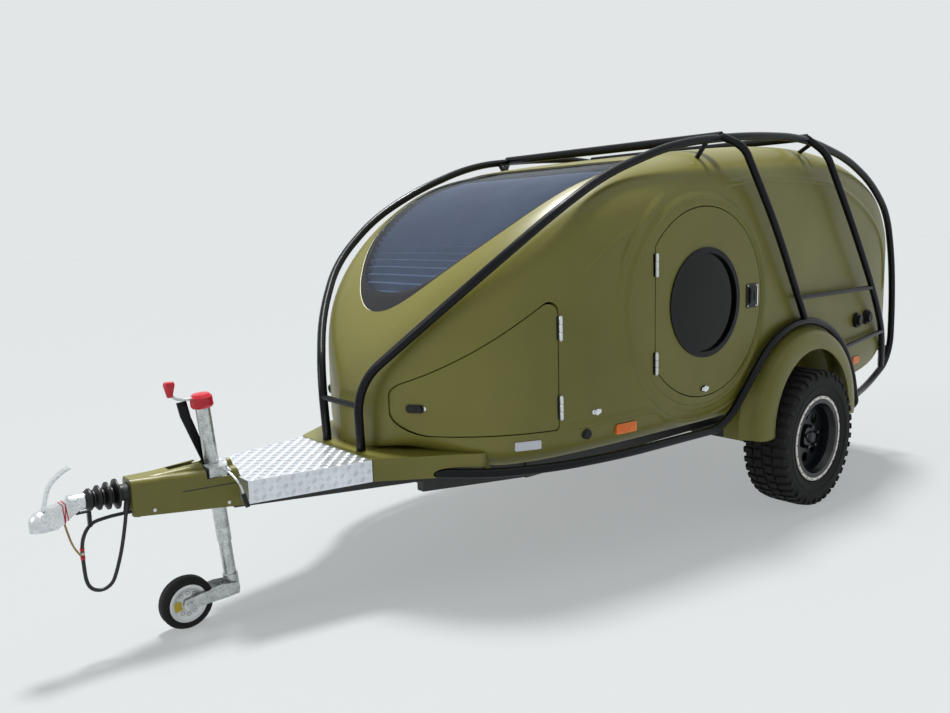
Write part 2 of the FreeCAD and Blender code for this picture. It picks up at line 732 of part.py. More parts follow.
def railRun():
    """Centre line of the long tube: nose post, shoulder, roof, tail and back under."""
    shoulder = [(bodyFront - 93, 48, 26), (1884, 19, 0), (1600, -27, -10), (1311, -83, -5),
                (900, -77, 44), (430, -52, 38), (-100, -49, 27), (-600, -52, -23)]
    points = [V(ledgeFront - 44, 135, ledgeHeight - 15), V(ledgeFront - 33, 141, ledgeHeight + 276)]
    points += [V(x, halfWidth(x) + side, crest(x) + rise) for x, side, rise in shoulder]
    side, roof, floor = bodyHalfWidth, roofHeight, floorHeight
    tail = [(bodyRear - 435, side - 71, roof - 189), (bodyRear - 155, side - 98, roof - 365),
            (bodyRear - 5, side - 125, roof - 638), (bodyRear + 35, side - 127, roof - 923),
            (railTailX, side - 127, floor + 105), (bodyRear - 290, side - 107, floor - 24),
            (bodyRear - 615, side - 42, floor - 48), (archRadius + 20, side + 13, floor - 75)]
    return points + [V(-x, y, z) for x, y, z in tail]


def railAt(x):
    """Point of the long tube's centre line above a place on the roof."""
    run = railRun()
    for ahead, behind in zip(run, run[1:]):
        if ahead.x >= x >= behind.x:
            return ahead + (behind - ahead) * ((ahead.x - x) / (ahead.x - behind.x))


def sillRun():
    """Sill tube from the ledge, rising over the wheel as an arch and down behind it."""
    sill = [(2135, 5, 17), (2060, 30, 17), (1884, 28, 16), (1640, 15, 14), (1300, 6, 13),
            (900, -12, 13), (archRadius + 10, -14, 10)]
    points = [V(x, halfWidth(x) + side, floorHeight + rise) for x, side, rise in sill]
    step = 19.5
    reach = archRadius / cos(radians(step / 2.0))
    for i in range(1, 9):
        angle = radians(17 + i * step)
        points.append(V(-20 + reach * cos(angle), bodyHalfWidth + 35, archCentreZ + reach * sin(angle)))
    points.append(V(-archRadius - 18, bodyHalfWidth + 13, floorHeight - 75))
    return points


def hoops(radius):
    """The two hoops that lean back over the fender."""
    side, roof, floor = bodyHalfWidth, roofHeight, floorHeight
    front = [V(590, side - 57, roof - 3), V(545, side + 28, roof - 53), V(300, side + 51, roof - 413),
             V(-20, side + 37, archCentreZ + archRadius + 18)]
    rear = [V(-150, side - 53, roof + 23), V(-200, side + 31, roof - 57),
            V(-470, side + 55, roof - 443), V(-770, side + 35, floor + 580),
            V(-1010, side - 12, floor + 320), V(-1200, side - 97, floor + 80)]
    return [bentTube(front, radius), bentTube(rear, radius)]


def sideFrame():
    """Left side of the outer frame: long rail, sill tube, hoops, ties and roof feet."""
    hold = box(ledgeFront - 129, ledgeFront + 71, 50, 250, 400, ledgeHeight + seatGap)
    rail = bentTube(railRun(), railRadius).cut(hold)
    sill = bentTube(sillRun(), railRadius).cut(slantRail(2015, 2400, 400, 600, 40 + 2 * seatGap))
    sill = max(sill.Solids, key=lambda solid: solid.Volume)
    side, floor = bodyHalfWidth, floorHeight
    upper = rod(V(35, side + 41, floor + 595), V(-760, side + 35, floor + 595), barRadius)
    lower = rod(V(-455, side + 35, floor + 285), V(-1010, side - 12, floor + 320), barRadius)
    feet = [rod(V(x, roofFootY, roofZ(x, roofFootY) - 10), railAt(x), 11).cut(seatForm) for x in (680, -215)]
    return fused([rail, sill, upper, lower] + hoops(railRadius - 1) + feet)


def crossTubes():
    """Bars that join the left and right side frames."""
    front, rear, tail = bodyHalfWidth - 59.0, bodyHalfWidth - 51.0, bodyHalfWidth - 127.0
    low, nose = floorHeight + 160.0, ledgeHeight + 188.0
    bars = [rod(V(597, -front, roofHeight - 1), V(597, front, roofHeight - 1), railRadius + 3),
            rod(V(-150, -rear, roofHeight + 26), V(-150, rear, roofHeight + 26), railRadius),
            rod(V(ledgeFront - 35, -139, nose), V(ledgeFront - 35, 139, nose), barRadius),
            rod(V(-railTailX, -tail, low), V(-railTailX, tail, low), railRadius)]
    keep = fused([bentTube(railRun(), railRadius + seatGap)] + hoops(railRadius - 1 + seatGap))
    cut = [bar.cut(keep).cut(mirrored(keep)) for bar in bars]
    return Part.makeCompound([max(c.Solids, key=lambda s: s.Volume) for c in cut])


def treadPlateBox():
    """Folded tread plate cover between the nose and the hitch cover, open below."""
    low = ledgeHeight - ledgeDepth

    def plan(inset, z):
        return [V(boxRearX, inset - ledgeHalfWidth, z), V(boxFrontX - inset, inset - boxFrontHalfWidth, z),
                V(boxFrontX - inset, boxFrontHalfWidth - inset, z), V(boxRearX, ledgeHalfWidth - inset, z)]
    outside = prism(plan(0, low), V(0, 0, boxTop - low))
    inside = prism(plan(sheetThickness, low - 1), V(0, 0, boxTop - low + 1 - sheetThickness))
    cover = outside.cut(inside)
    slope = coverSlope()
    slope.translate(V(-4, 0, 0))
    return cover.cut(coverForm(-4.0, 60.0).cut(slope))


def coverForm(inset, drop):
    """The hitch cover's form, drawn in by its skin and let down for a hollow."""
    ends = []
    for x, half, low, top in ((coverRearX, coverRearHalfWidth, coverTop - 159, coverTop - 8),
                              (coverFrontX, coverFrontHalfWidth, coverTop - 126, coverTop + 8)):
        half, top, low = half - inset, top - inset, low - drop
        ends.append(roundedLoop([V(x, -half, low), V(x, half, low), V(x, half * 0.9, top),
                                 V(x, -half * 0.9, top)], [2.0, 2.0, 22.0 - inset, 22.0 - inset]))
    return Part.makeLoft(ends, True, True)


def coverSlope():
    """Wedge that slants the cover's rear end."""
    low, high = coverTop - 159.0, coverTop + 86.0
    return prism([V(coverRearX - 1, -300, low), V(coverRearX - 1, -300, high), V(coverRearX + 60, -300, high),
                  V(coverRearX, -300, low)], V(0, 600, 0))


def coverHump(inset):
    """Raised middle of the cover, falling toward the hitch."""
    ends = []
    for x, half, top in ((coverRearX + 13, 74.0, coverTop + 22), (coverFrontX - 50, 40.0, coverTop + 6)):
        half, top, low = half - inset, top - inset, coverTop - 30
        ends.append(roundedLoop([V(x, -half, low), V(x, half, low), V(x, half * 0.86, top),
                                 V(x, -half * 0.86, top)], [2.0, 2.0, 18.0 - inset, 18.0 - inset]))
    return Part.makeLoft(ends, True, True)


def hitchCover():
    """Moulded cover over the overrun hitch, open below, cut out for lever and jack."""
    front = box(0, coverFrontX - coverSkin, -500, 500, 0, 2000)
    hollow = coverForm(coverSkin, 10.0).fuse(coverHump(coverSkin)).common(front)
    mouth = rod(V(coverFrontX - 50, 0, couplingHeight), V(coverFrontX + 50, 0, couplingHeight),
                housingRadius + 4)
    notch = box(coverFrontX - 10, coverFrontX + 10, -26, 26, 400, couplingHeight)
    x, high = jackAt(cheekTop).x, coverTop + 86
    slot = box(x, x + 175, -26, 16, couplingHeight + 20, high)
    pocket = box(x - 52, x + 62, -58, 48, cheekTop - 11, high).fuse(
        box(x - 30, x + 62, -48, 200, cheekTop + 22, high))
    return coverForm(0, 0).fuse(coverHump(0)).cut(hollow).cut(
        fused([coverSlope(), mouth, notch, slot, pocket]))


def jackAt(z):
    return V(jackFootX + (z - jackLegBottom) * tan(radians(jackLean)), 0, z)


def cheeks():
    """Side plates that carry the overrun housing ahead of the drawbar rails."""
    loop = prism([V(2702, cheekY, drawbarTop - 60), V(2702, cheekY, cheekTop), V(3085, cheekY, cheekTop),
                  V(3085, cheekY, drawbarTop - 30), V(3030, cheekY, drawbarTop - 60)], V(0, 8, 0))
    return [loop, mirrored(loop)]


def overrunHousing():
    """Cast tube for the coupling shaft, its saddles, the cover's boss and the cable glands."""
    tube = rod(V(2905, 0, couplingHeight), V(bellowsRearX - seatGap, 0, couplingHeight), housingRadius)
    half = cheekY - seatGap
    saddles = [box(x, x + 46, -half, half, drawbarTop - 52, couplingHeight) for x in (2915, 3020)]
    boss = box(3040, 3090, -20, 20, couplingHeight, 700).common(coverForm(coverSkin + seatGap, 0))
    bracket = box(3098, 3110, -24, 24, couplingHeight - 96, couplingHeight)
    start, after = cableRun()[:2]
    gland = rod(start - (after - start) * (50.0 / (after - start).Length), start, cableRadius + 4)
    bore = rod(V(2904, 0, couplingHeight), V(3200, 0, couplingHeight), shaftRadius + slideGap)
    return fused([tube, boss, bracket, gland] + saddles).cut(bore)


def cableRun():
    """Centre line of the cable: out of its gland, down in a loop and back to the bracket."""
    line = [(3145, 13, -73), (3156, 14, -132), (3172, 12, -206), (3192, 11, -272), (3212, 9, -322),
            (3254, 6, -337), (3294, 2, -310), (3298, -3, -227), (3296, -8, -142), (3262, -11, -88),
            (3205, -12, -81), (3158, -13, -80), (3112, -12, -81)]
    return [V(x, y, couplingHeight + drop) for x, y, drop in line]


def strapRun():
    line = [(3349, 8, -57), (3339, 7, -111), (3323, 4, -164), (3303, -2, -194)]
    return [V(x, y, couplingHeight + drop) for x, y, drop in line]


def electricCable():
    return bentTube(cableRun(), cableRadius)


def breakawayStrap():
    """Woven strap from the coupling head to the cable's loop."""
    strap = bentTube(strapRun(), strapRadius).cut(couplingHead())
    return max(strap.cut(bentTube(cableRun(), cableRadius)).Solids, key=lambda s: s.Volume)


def cableClip():
    """Clip that hangs from the coupling's neck and holds the cable."""
    low, top = couplingHeight - 100.0, couplingHeight - 41.0
    drop = box(3256, 3268, -19, -3, low, top)
    hook = box(3256, 3305, -19, -3, top - 6, top).fuse(box(3293, 3305, -19, -3, top - 6, top + 29))
    return fused([drop, hook]).cut(couplingHead()).cut(bentTube(cableRun(), cableRadius))


def bellows():
    """Pleated rubber gaiter over the coupling shaft, narrowing toward the head."""
    start, end = bellowsRearX + 8.0, neckRearX - seatGap
    pitch = (end - start) / bellowsPleats
    profile = [V(bellowsRearX, 0, shaftRadius + seatGap), V(bellowsRearX, 0, 30)]
    for i in range(bellowsPleats):
        x, crown = start + i * pitch, 54.0 - 5.0 * i
        profile += [V(x, 0, 30), V(x + 0.28 * pitch, 0, crown), V(x + 0.5 * pitch, 0, crown),
                    V(x + 0.86 * pitch, 0, 30)]
    profile += [V(end, 0, 30), V(end, 0, shaftRadius + seatGap)]
    gaiter = turned(profile, V(0, 0, 0), AHEAD)
    gaiter.translate(V(0, 0, couplingHeight))
    return gaiter


def couplingHead():
    """Pressed ball cup on the shaft that slides in the overrun housing."""
    reach = hitchReach - ballCentreX
    low = ballCentreZ - 24.0
    shaft = rod(V(2912, 0, couplingHeight), V(neckRearX + 28, 0, couplingHeight), shaftRadius)
    neck = rod(V(neckRearX, 0, couplingHeight), V(neckRearX + 50, 0, couplingHeight), shaftRadius + 8)
    side = [V(neckRearX + 20, -60, couplingHeight + 22), V(neckRearX + 62, -60, couplingHeight + 8),
            V(ballCentreX, -60, ballCentreZ + 36), V(ballCentreX, -60, low),
            V(ballCentreX - 45, -60, low), V(neckRearX + 20, -60, couplingHeight - 24)]
    plan = [V(neckRearX + 20, -26, 0), V(ballCentreX, -reach, 0), V(ballCentreX, reach, 0),
            V(neckRearX + 20, 26, 0)]
    arm = prism(side, V(0, 120, 0)).common(prism(plan, V(0, 0, 900)))
    skirt = Part.makeCylinder(reach, ballCentreZ + 8 - low, V(ballCentreX, 0, low))
    dome = Part.makeSphere(reach, V(ballCentreX, 0, ballCentreZ + 8))
    cup = skirt.fuse(dome.common(box(ballCentreX - 60, 4000, -60, 60, ballCentreZ, 900)))
    socket = Part.makeCylinder(ballRadius, ballCentreZ - low + 1, V(ballCentreX, 0, low - 1))
    ball = Part.makeSphere(ballRadius, V(ballCentreX, 0, ballCentreZ))
    return fused([shaft, neck, arm, cup]).cut(socket).cut(ball)


def couplingLever():
    """Curved release lever that stands up over the ball cup."""
    top = [V(ballCentreX + x, 0, ballCentreZ + z) for x, z in
           ((-10, 44), (-19, 76), (-30, 114), (-60, 151), (-105, 176))]
    thickness = V(-5, 0, -5)
    curve = Part.BSplineCurve()
    curve.interpolate(top)
    back = Part.BSplineCurve()
    back.interpolate([p + thickness for p in top])
    edges = [curve.toShape(), Part.makeLine(top[-1], top[-1] + thickness), back.toShape(),
             Part.makeLine(top[0] + thickness, top[0])]
    blade = Part.Face(Part.Wire(Part.sortEdges(edges)[0])).extrude(V(0, 34, 0))
    blade.translate(V(0, -17, 0))
    return blade.cut(couplingHead())


def handbrakeLever():
    """Black blade on the outside of the right cheek, standing up beside the jack."""
    face = -cheekY - 8.0 - seatGap
    low, high = V(2788, face, couplingHeight - 37), V(2894, face, couplingHeight + 284)
    points = [low + V(-14, 0, -6), low + V(14, 0, -6), high + V(9, 0, -60), high + V(20, 0, -4),
              high + V(-17, 0, 0), high + V(-30, 0, -64)]
    blade = prism(points, V(0, -7, 0))
    return blade.fuse(rod(low + V(3, 0, 8), low + V(3, -12, 8), 12)).removeSplitter()


def jackTube():
    return rod(jackAt(jackTubeBottom), jackAt(jackTop), jackTubeRadius).cut(
        rod(jackAt(jackTubeBottom - 5), jackAt(jackTop - 20), jackLegRadius + slideGap))


def toggleRun():
    x = jackAt(cheekTop).x
    return [V(x - 2, 70, cheekTop + 48), V(x - 6, 130, cheekTop + 46), V(x - 22, 180, cheekTop + 8),
            V(x - 34, 205, cheekTop - 70)]


def jackClamp():
    """Galvanised clamp round the jack, with its bent toggle bar."""
    ring = rod(jackAt(cheekTop + 5), jackAt(cheekTop + 52), jackTubeRadius + 6)
    x = jackAt(cheekTop).x
    block = box(x - 20, x + 50, 20, 84, cheekTop + 24, cheekTop + 60)
    foot = box(x - 36, x + 29, -cheekY, cheekY + 8, cheekTop + seatGap, cheekTop + 8)
    return fused([ring, block, foot, bentTube(toggleRun(), 4.5)]).cut(
        rod(jackAt(400), jackAt(700), jackTubeRadius + seatGap))


def toggleGrip():
    end, before = toggleRun()[-1], toggleRun()[-2]
    along = (before - end).normalize()
    return rod(end - along * 8, end + along * 44, 9).cut(bentTube(toggleRun(), 4.5))


def crankRun():
    top = jackAt(jackTop + 38)
    return [top, top + V(70, 6, 0), top + V(112, 10, 14), top + V(122, 12, 66)]


def jackCrank():
    return bentTube(crankRun(), 5.5)


def jackGrips():
    """Red cap on the jack and red knob on its crank."""
    profile = [V(0, 0, seatGap), V(jackTubeRadius + 10, 0, seatGap), V(jackTubeRadius + 15, 0, 8),
               V(jackTubeRadius + 14, 0, 40), V(jackTubeRadius + 4, 0, 52), V(0, 0, 56)]
    cap = turned(profile, V(0, 0, 0), UP)
    cap.rotate(V(0, 0, 0), ACROSS, jackLean)
    cap.translate(jackAt(jackTop))
    knob = turned([V(0, 0, 0), V(10, 0, 0), V(21, 0, 46), V(18, 0, 56), V(0, 0, 58)], V(0, 0, 0), UP)
    knob.translate(crankRun()[-1] + V(-2, 0, -48))
    return Part.makeCompound([piece.cut(jackCrank()) for piece in (cap, knob)])


def jackLeg():
    """Inner tube, with the spigot that the fork turns on."""
    leg = rod(jackAt(jackLegBottom + 46), jackAt(jackTop - jackTravel - 30), jackLegRadius)
    return leg.fuse(rod(jackAt(jackLegBottom - 10), jackAt(jackLegBottom + 50), 10)).removeSplitter()


def jockeyFork():
    """Swivel socket and trailing fork that carries the jockey wheel."""
    socket = rod(jackAt(jackLegBottom - 28), jackAt(jackLegBottom + 45.5), jackLegRadius + 5)
    half = jockeyWidth / 2.0 + 5
    arms = []
    for y in (half, -half - 5):
        arms.append(prism([V(jackFootX - 12, y, 88), V(jackFootX - 12, y, 132), V(jackFootX + 60, y, 140),
                           V(jockeyX + 18, y, jockeyRadius + 20), V(jockeyX + 24, y, jockeyRadius),
                           V(jockeyX + 14, y, jockeyRadius - 18), V(jackFootX + 40, y, 84)], V(0, 5, 0)))
    bridge = box(jackFootX - 14, jackFootX + 40, -half - 5, half + 5, 90, 118)
    pin = rod(V(jockeyX, -half - 9, jockeyRadius), V(jockeyX, half + 9, jockeyRadius), 7)
    bore = rod(jackAt(jackLegBottom - 11), jackAt(jackLegBottom + 60), 10 + runningFit)
    return fused([socket, bridge, pin] + arms).cut(bore)


def jockeyRim():
    half, bore = jockeyWidth / 2.0, 7 + runningFit
    rim = turned([V(bore, -half + 2, 0), V(16, -half + 2, 0), V(16, -6, 0), V(58, -5, 0), V(60, -half + 6, 0),
                  V(72, -half + 4, 0), V(72, half - 4, 0), V(60, half - 6, 0), V(58, 5, 0), V(16, 6, 0),
                  V(16, half - 2, 0), V(bore, half - 2, 0)], V(0, 0, 0), ACROSS)
    rim.translate(V(jockeyX, 0, jockeyRadius))
    return rim


def jockeyTyre():
    half = jockeyWidth / 2.0
    side = [V(72.3, half - 5, 0), V(86, half, 0), V(jockeyRadius - 4, half - 6, 0),
            V(jockeyRadius, half - 16, 0)]
    tread = turned(side + [V(p.x, -p.y, 0) for p in reversed(side)], V(0, 0, 0), ACROSS)
    tread.translate(V(jockeyX, 0, jockeyRadius))
    return tread


def steady():
    """Corner steady folded up under the tail, foot to the rear."""
    pivot = V(-steadyPivotX, steadyY, steadyPivotZ)
    end = pivot + V(-steadyLength, 0, -steadyDrop)
    leg = prism([pivot + V(20, -14, 16), pivot + V(20, -14, -16), end + V(0, -14, -12), end + V(0, -14, 12)],
                V(0, 28, 0))
    foot = rod(end + V(5, 0, 0), end + V(-8, 0, 0), 38)
    return fused([leg, foot]).cut(rod(pivot + V(0, -40, 0), pivot + V(0, 40, 0), 8 + runningFit))


def steadyBracket():
    pivot = V(-steadyPivotX, steadyY, steadyPivotZ)
    top = chassisTop - 4
    cheek = box(pivot.x - 26, pivot.x + 26, steadyY - 20, steadyY - 14.5, steadyPivotZ - 20, top)
    other = box(pivot.x - 26, pivot.x + 26, steadyY + 14.5, steadyY + 20, steadyPivotZ - 20, top)
    roof = box(pivot.x - 26, pivot.x + 26, chassisRailY, steadyY + 20, top - 8, top)
    pin = rod(pivot + V(0, -20, 0), pivot + V(0, 20, 0), 8)
    return fused([cheek, other, roof, pin])


def markerLamps():
    """Amber lamps at the sill, ahead of the door and behind the wheel."""
    front = onSide(plate(118, 44, 11, 8), 1276, 602)
    rear = onSide(plate(84, 40, 11, 8), -700, 660)
    return Part.makeCompound([front, rear, mirrored(front), mirrored(rear)])


def reflectors():
    front = onSide(plate(112, 36, 6, 6), 1752, 592)
    return bothSides(front)


def sockets():
    """Flip caps of the water filler and the mains inlet, and the drain cap."""
    pieces = []
    for x, z in ((-678, 892), (-812, 897)):
        cap = Part.makeCylinder(42, 48, V(0, -30, 0), ACROSS)
        cap = cap.fuse(Part.makeCylinder(30, 60, V(0, -30, 0), ACROSS))
        pieces.append(onSide(cap, x, z))
    pieces.append(onSide(Part.makeCylinder(22, 38, V(0, -30, 0), ACROSS), 1490, 606))
    return Part.makeCompound(pieces)


def hatchLock():
    return onSide(Part.makeCylinder(13, 40, V(0, -30, 0), ACROSS).fuse(plate(48, 20, 4, 9.5)), 1446, 697)


def tailLamps():
    lamps = []
    for z in (tailgateLowZ + 70, tailgateLowZ + 200):
        outline = rod(V(-bodyRear - 30, windowHalfWidth, z), V(-bodyRear + 150, windowHalfWidth, z), 52)
        lamps.append(rimForm.common(outline).cut(seatForm))
    return bothSides(Part.makeCompound(lamps))


def save(name, shape):
    placed = shape.copy()
    placed.translate(V(-midLength, 0, 0))
    placed.exportStep("parts/" + name + ".step")


def saveAll():
    half = bodyHalf()
    arm = trailingArm()
    pieces = {
        "body_left": half, "body_right": mirrored(half),
        "front_window": glazing(), "window_blind": windowBlind(),
        "chassis_frame": chassis(),
        "axle": fused([axleBeam(), arm, mirrored(arm)]),
        "tread_plate_box": treadPlateBox(), "hitch_cover": hitchCover(),
        "overrun_housing": overrunHousing(), "bellows": bellows(), "coupling_head": couplingHead(),
        "coupling_lever": couplingLever(), "handbrake_lever": handbrakeLever(),
        "electric_cable": electricCable(), "cable_clip": cableClip(), "breakaway_strap": breakawayStrap(),
        "jack_tube": jackTube(), "jack_clamp": jackClamp(), "toggle_grip": toggleGrip(),
        "jack_crank": jackCrank(), "jack_grips": jackGrips(), "jack_leg": jackLeg(),
        "jockey_fork": jockeyFork(), "jockey_rim": jockeyRim(), "jockey_tyre": jockeyTyre(),
        "cross_tubes": crossTubes(),
        "fixed_hinges": Part.makeCompound([fixedHinges(), mirrored(fixedHinges()), tailgateHinges()]),
        "tailgate": tailgatePanel(), "tailgate_fittings": tailgateFittings(),
        "marker_lamps": markerLamps(), "reflectors": reflectors(), "side_sockets": sockets(),
        "hatch_locks": bothSides(hatchLock()), "tail_lamps": tailLamps()}
    pieces.update(insidePieces())
    sided = {
        "side_frame": sideFrame(), "fender": fenderFlare(), "door": doorPanel(), "door_rim": doorRim(),
        "door_glass": doorGlass(), "door_fittings": doorFittings(), "hatch": hatchPanel(),
        "hatch_fittings": hatchFittings(), "wheel": rim().fuse(brakeDrum()), "tyre": tyre(),
        "steady": steady()}
    for name, shape in sided.items():
        pieces[name + "_left"] = shape
        pieces[name + "_right"] = mirrored(shape)
    for name, shape in pieces.items():
        save(name, shape)


for name, radius in (("electric_cable", cableRadius), ("breakaway_strap", strapRadius)):
    print(name, "radius", radius, "mm")
saveAll()
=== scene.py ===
import json
from math import cos, pi, radians, sin, tau

import bmesh
import bpy
from mathutils import Matrix, Vector
from mathutils.bvhtree import BVHTree


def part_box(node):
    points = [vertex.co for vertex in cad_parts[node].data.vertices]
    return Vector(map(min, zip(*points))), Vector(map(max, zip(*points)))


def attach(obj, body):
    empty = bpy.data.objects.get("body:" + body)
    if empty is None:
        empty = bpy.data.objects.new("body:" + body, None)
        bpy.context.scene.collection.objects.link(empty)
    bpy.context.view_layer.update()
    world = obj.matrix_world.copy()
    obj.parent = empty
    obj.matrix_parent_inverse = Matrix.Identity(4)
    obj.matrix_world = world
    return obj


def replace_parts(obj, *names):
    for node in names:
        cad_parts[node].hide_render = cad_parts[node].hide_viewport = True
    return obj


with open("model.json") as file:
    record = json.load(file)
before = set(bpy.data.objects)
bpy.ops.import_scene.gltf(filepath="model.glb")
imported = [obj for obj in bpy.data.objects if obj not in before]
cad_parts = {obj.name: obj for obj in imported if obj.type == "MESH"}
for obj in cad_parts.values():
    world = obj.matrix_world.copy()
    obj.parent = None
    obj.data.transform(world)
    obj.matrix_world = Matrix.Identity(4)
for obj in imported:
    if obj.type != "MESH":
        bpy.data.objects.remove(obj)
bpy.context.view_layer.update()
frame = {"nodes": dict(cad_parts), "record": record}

# Off-road teardrop trailer. Metres, +X to the hitch, +Y to the trailer's left, +Z up.
# Places along X are written from the axle, as in the part's source.
nodes = frame["nodes"]
scene = bpy.context.scene
axleX = -1.025  # the axle, from the middle of the whole length
axleZ = 0.355
ahead = Vector((1, 0, 0))
leftward = Vector((0, 1, 0))
upward = Vector((0, 0, 1))
rightward = Vector((0, -1, 0))
downward = Vector((0, 0, -1))


def at(x, y, z):
    return Vector((x + axleX, y, z))


def around(count, shift=0.0):  # even angles round a circle
    return [tau * (i + shift) / count for i in range(count)]


def linear(red, green, blue):  # sRGB 0-255 to the shader's linear colour
    def one(value):
        value /= 255.0
        return value / 12.92 if value <= 0.04045 else ((value + 0.055) / 1.055) ** 2.4
    return (one(red), one(green), one(blue), 1.0)


def placed(name, data):
    made = bpy.data.objects.new(name, data)
    scene.collection.objects.link(made)
    return made


# Camera at the photo's angle
view = {"place": (3.0118, 3.0372, 1.4642), "yaw": 4.01608, "pitch": -0.150274,
        "roll": -0.027669, "lens": 32.01, "sensor": 36.0, "reach": 200.0}


def addCamera():
    yaw, pitch, roll = view["yaw"], view["pitch"], view["roll"]
    sight = Vector((cos(pitch) * cos(yaw), cos(pitch) * sin(yaw), sin(pitch)))
    right = sight.cross(upward).normalized()
    up = right.cross(sight)
    right, up = cos(roll) * right + sin(roll) * up, cos(roll) * up - sin(roll) * right
    data = bpy.data.cameras.new("camera")
    data.lens = view["lens"]
    data.sensor_width = view["sensor"]
    data.clip_end = view["reach"]
    turn = Matrix((right, up, -sight)).transposed().to_4x4()
    scene.camera = placed("camera", data)
    scene.camera.matrix_world = Matrix.Translation(view["place"]) @ turn


addCamera()


# Node helpers
def newMaterial(name):
    material = bpy.data.materials.new(name)
    material.use_nodes = True
    return material, material.node_tree, material.node_tree.nodes["Principled BSDF"]


def setInputs(tree, node, inputs):  # values, or the sockets that feed them
    for key, value in inputs.items():
        if isinstance(value, bpy.types.NodeSocket):
            tree.links.new(value, node.inputs[key])
        else:
            node.inputs[key].default_value = value


def addNode(tree, kind, inputs=None, **settings):
    node = tree.nodes.new("ShaderNode" + kind)
    for key, value in settings.items():
        setattr(node, key, value)
    setInputs(tree, node, inputs or {})
    return node


def noise(tree, scale, detail=3.0, roughness=0.55, stretch=None):
    spot = addNode(tree, "TexCoord").outputs["Object"]
    if stretch:
        spot = addNode(tree, "Mapping", {"Vector": spot, "Scale": stretch}).outputs[0]
    return addNode(tree, "TexNoise", {
        "Vector": spot, "Scale": scale, "Detail": detail, "Roughness": roughness}).outputs["Fac"]


def spread(tree, value, low, high, fromLow=0.3, fromHigh=0.7):
    return addNode(tree, "MapRange", {
        "Value": value, "From Min": fromLow, "From Max": fromHigh,
        "To Min": low, "To Max": high}).outputs[0]


def blended(tree, share, first, second):
    return addNode(tree, "Mix", {0: share, 6: first, 7: second}, data_type="RGBA").outputs[2]


def maths(tree, operation, first, second):
    return addNode(tree, "Math", {0: first, 1: second}, operation=operation).outputs[0]


def weighed(tree, first, firstShare, second, secondShare):
    return maths(tree, "ADD", maths(tree, "MULTIPLY", first, firstShare),
                 maths(tree, "MULTIPLY", second, secondShare))


def bump(tree, height, strength, distance):
    return addNode(tree, "Bump", {
        "Height": height, "Strength": strength, "Distance": distance}).outputs[0]


def mixShaders(tree, share, first, second, end="Material Output"):
    mix = addNode(tree, "MixShader", {0: share, 1: first.outputs[0], 2: second.outputs[0]})
    tree.links.new(mix.outputs[0], tree.nodes[end].inputs[0])


# Even finish with soft patches of tone, gloss that varies and a fine grain
wear = {"patchShare": 0.6, "grainShare": 0.4, "glossier": 0.07, "duller": 0.09,
        "grainStrength": 0.35, "coatRoughness": 0.25}


def worn(name, colour, second, roughness, metallic=0.0, grain=300.0, depth=0.0004, patch=6.0, coat=0.0,
         specular=0.5, stretch=None):
    material, tree, shader = newMaterial(name)
    patches = noise(tree, patch, 4.0, stretch=stretch)
    fine = noise(tree, grain, 3.0, stretch=stretch)
    both = weighed(tree, patches, wear["patchShare"], fine, wear["grainShare"])
    setInputs(tree, shader, {
        "Base Color": blended(tree, spread(tree, patches, 0.0, 1.0), linear(*colour), linear(*second)),
        "Roughness": spread(tree, both, roughness - wear["glossier"], roughness + wear["duller"]),
        "Normal": bump(tree, fine, wear["grainStrength"], depth), "Metallic": metallic,
        "Coat Weight": coat, "Coat Roughness": wear["coatRoughness"], "Specular IOR Level": specular})
    return material


# Tinted glass: clear is the share of light that passes, the rest meets the tint and its reflections
glass = {"through": (0.7, 0.76, 0.86, 1.0), "cloud": 7.0, "smooth": 0.02, "hazy": 0.05}


def tinted(name, tint, clear, specular):
    material, tree, shader = newMaterial(name)
    setInputs(tree, shader, {
        "Base Color": linear(*tint), "Specular IOR Level": specular,
        "Roughness": spread(tree, noise(tree, glass["cloud"], 2.0), glass["smooth"], glass["hazy"])})
    through = addNode(tree, "BsdfTransparent", {"Color": glass["through"]})
    mixShaders(tree, clear, shader, through)
    return material


# Hot-dip zinc with large pale flakes
zinc = {"flakes": 160.0, "flakeShare": 0.3, "cloud": 24.0, "cloudShare": 0.7, "glossier": 0.06,
        "duller": 0.12, "grain": 320.0, "grainStrength": 0.3, "grainDepth": 0.0003, "metallic": 0.85}


def zinced(name, bright, dull, roughness):
    material, tree, shader = newMaterial(name)
    spot = addNode(tree, "TexCoord").outputs["Object"]
    flakes = addNode(tree, "TexVoronoi", {"Vector": spot, "Scale": zinc["flakes"]})
    share = weighed(tree, flakes.outputs["Color"], zinc["flakeShare"],
                    noise(tree, zinc["cloud"], 4.0), zinc["cloudShare"])
    grain = noise(tree, zinc["grain"], 3.0)
    setInputs(tree, shader, {
        "Base Color": blended(tree, spread(tree, share, 0.0, 1.0, 0.35, 0.65),
                              linear(*dull), linear(*bright)),
        "Roughness": spread(tree, share, roughness - zinc["glossier"], roughness + zinc["duller"]),
        "Normal": bump(tree, grain, zinc["grainStrength"], zinc["grainDepth"]),
        "Metallic": zinc["metallic"]})
    return material


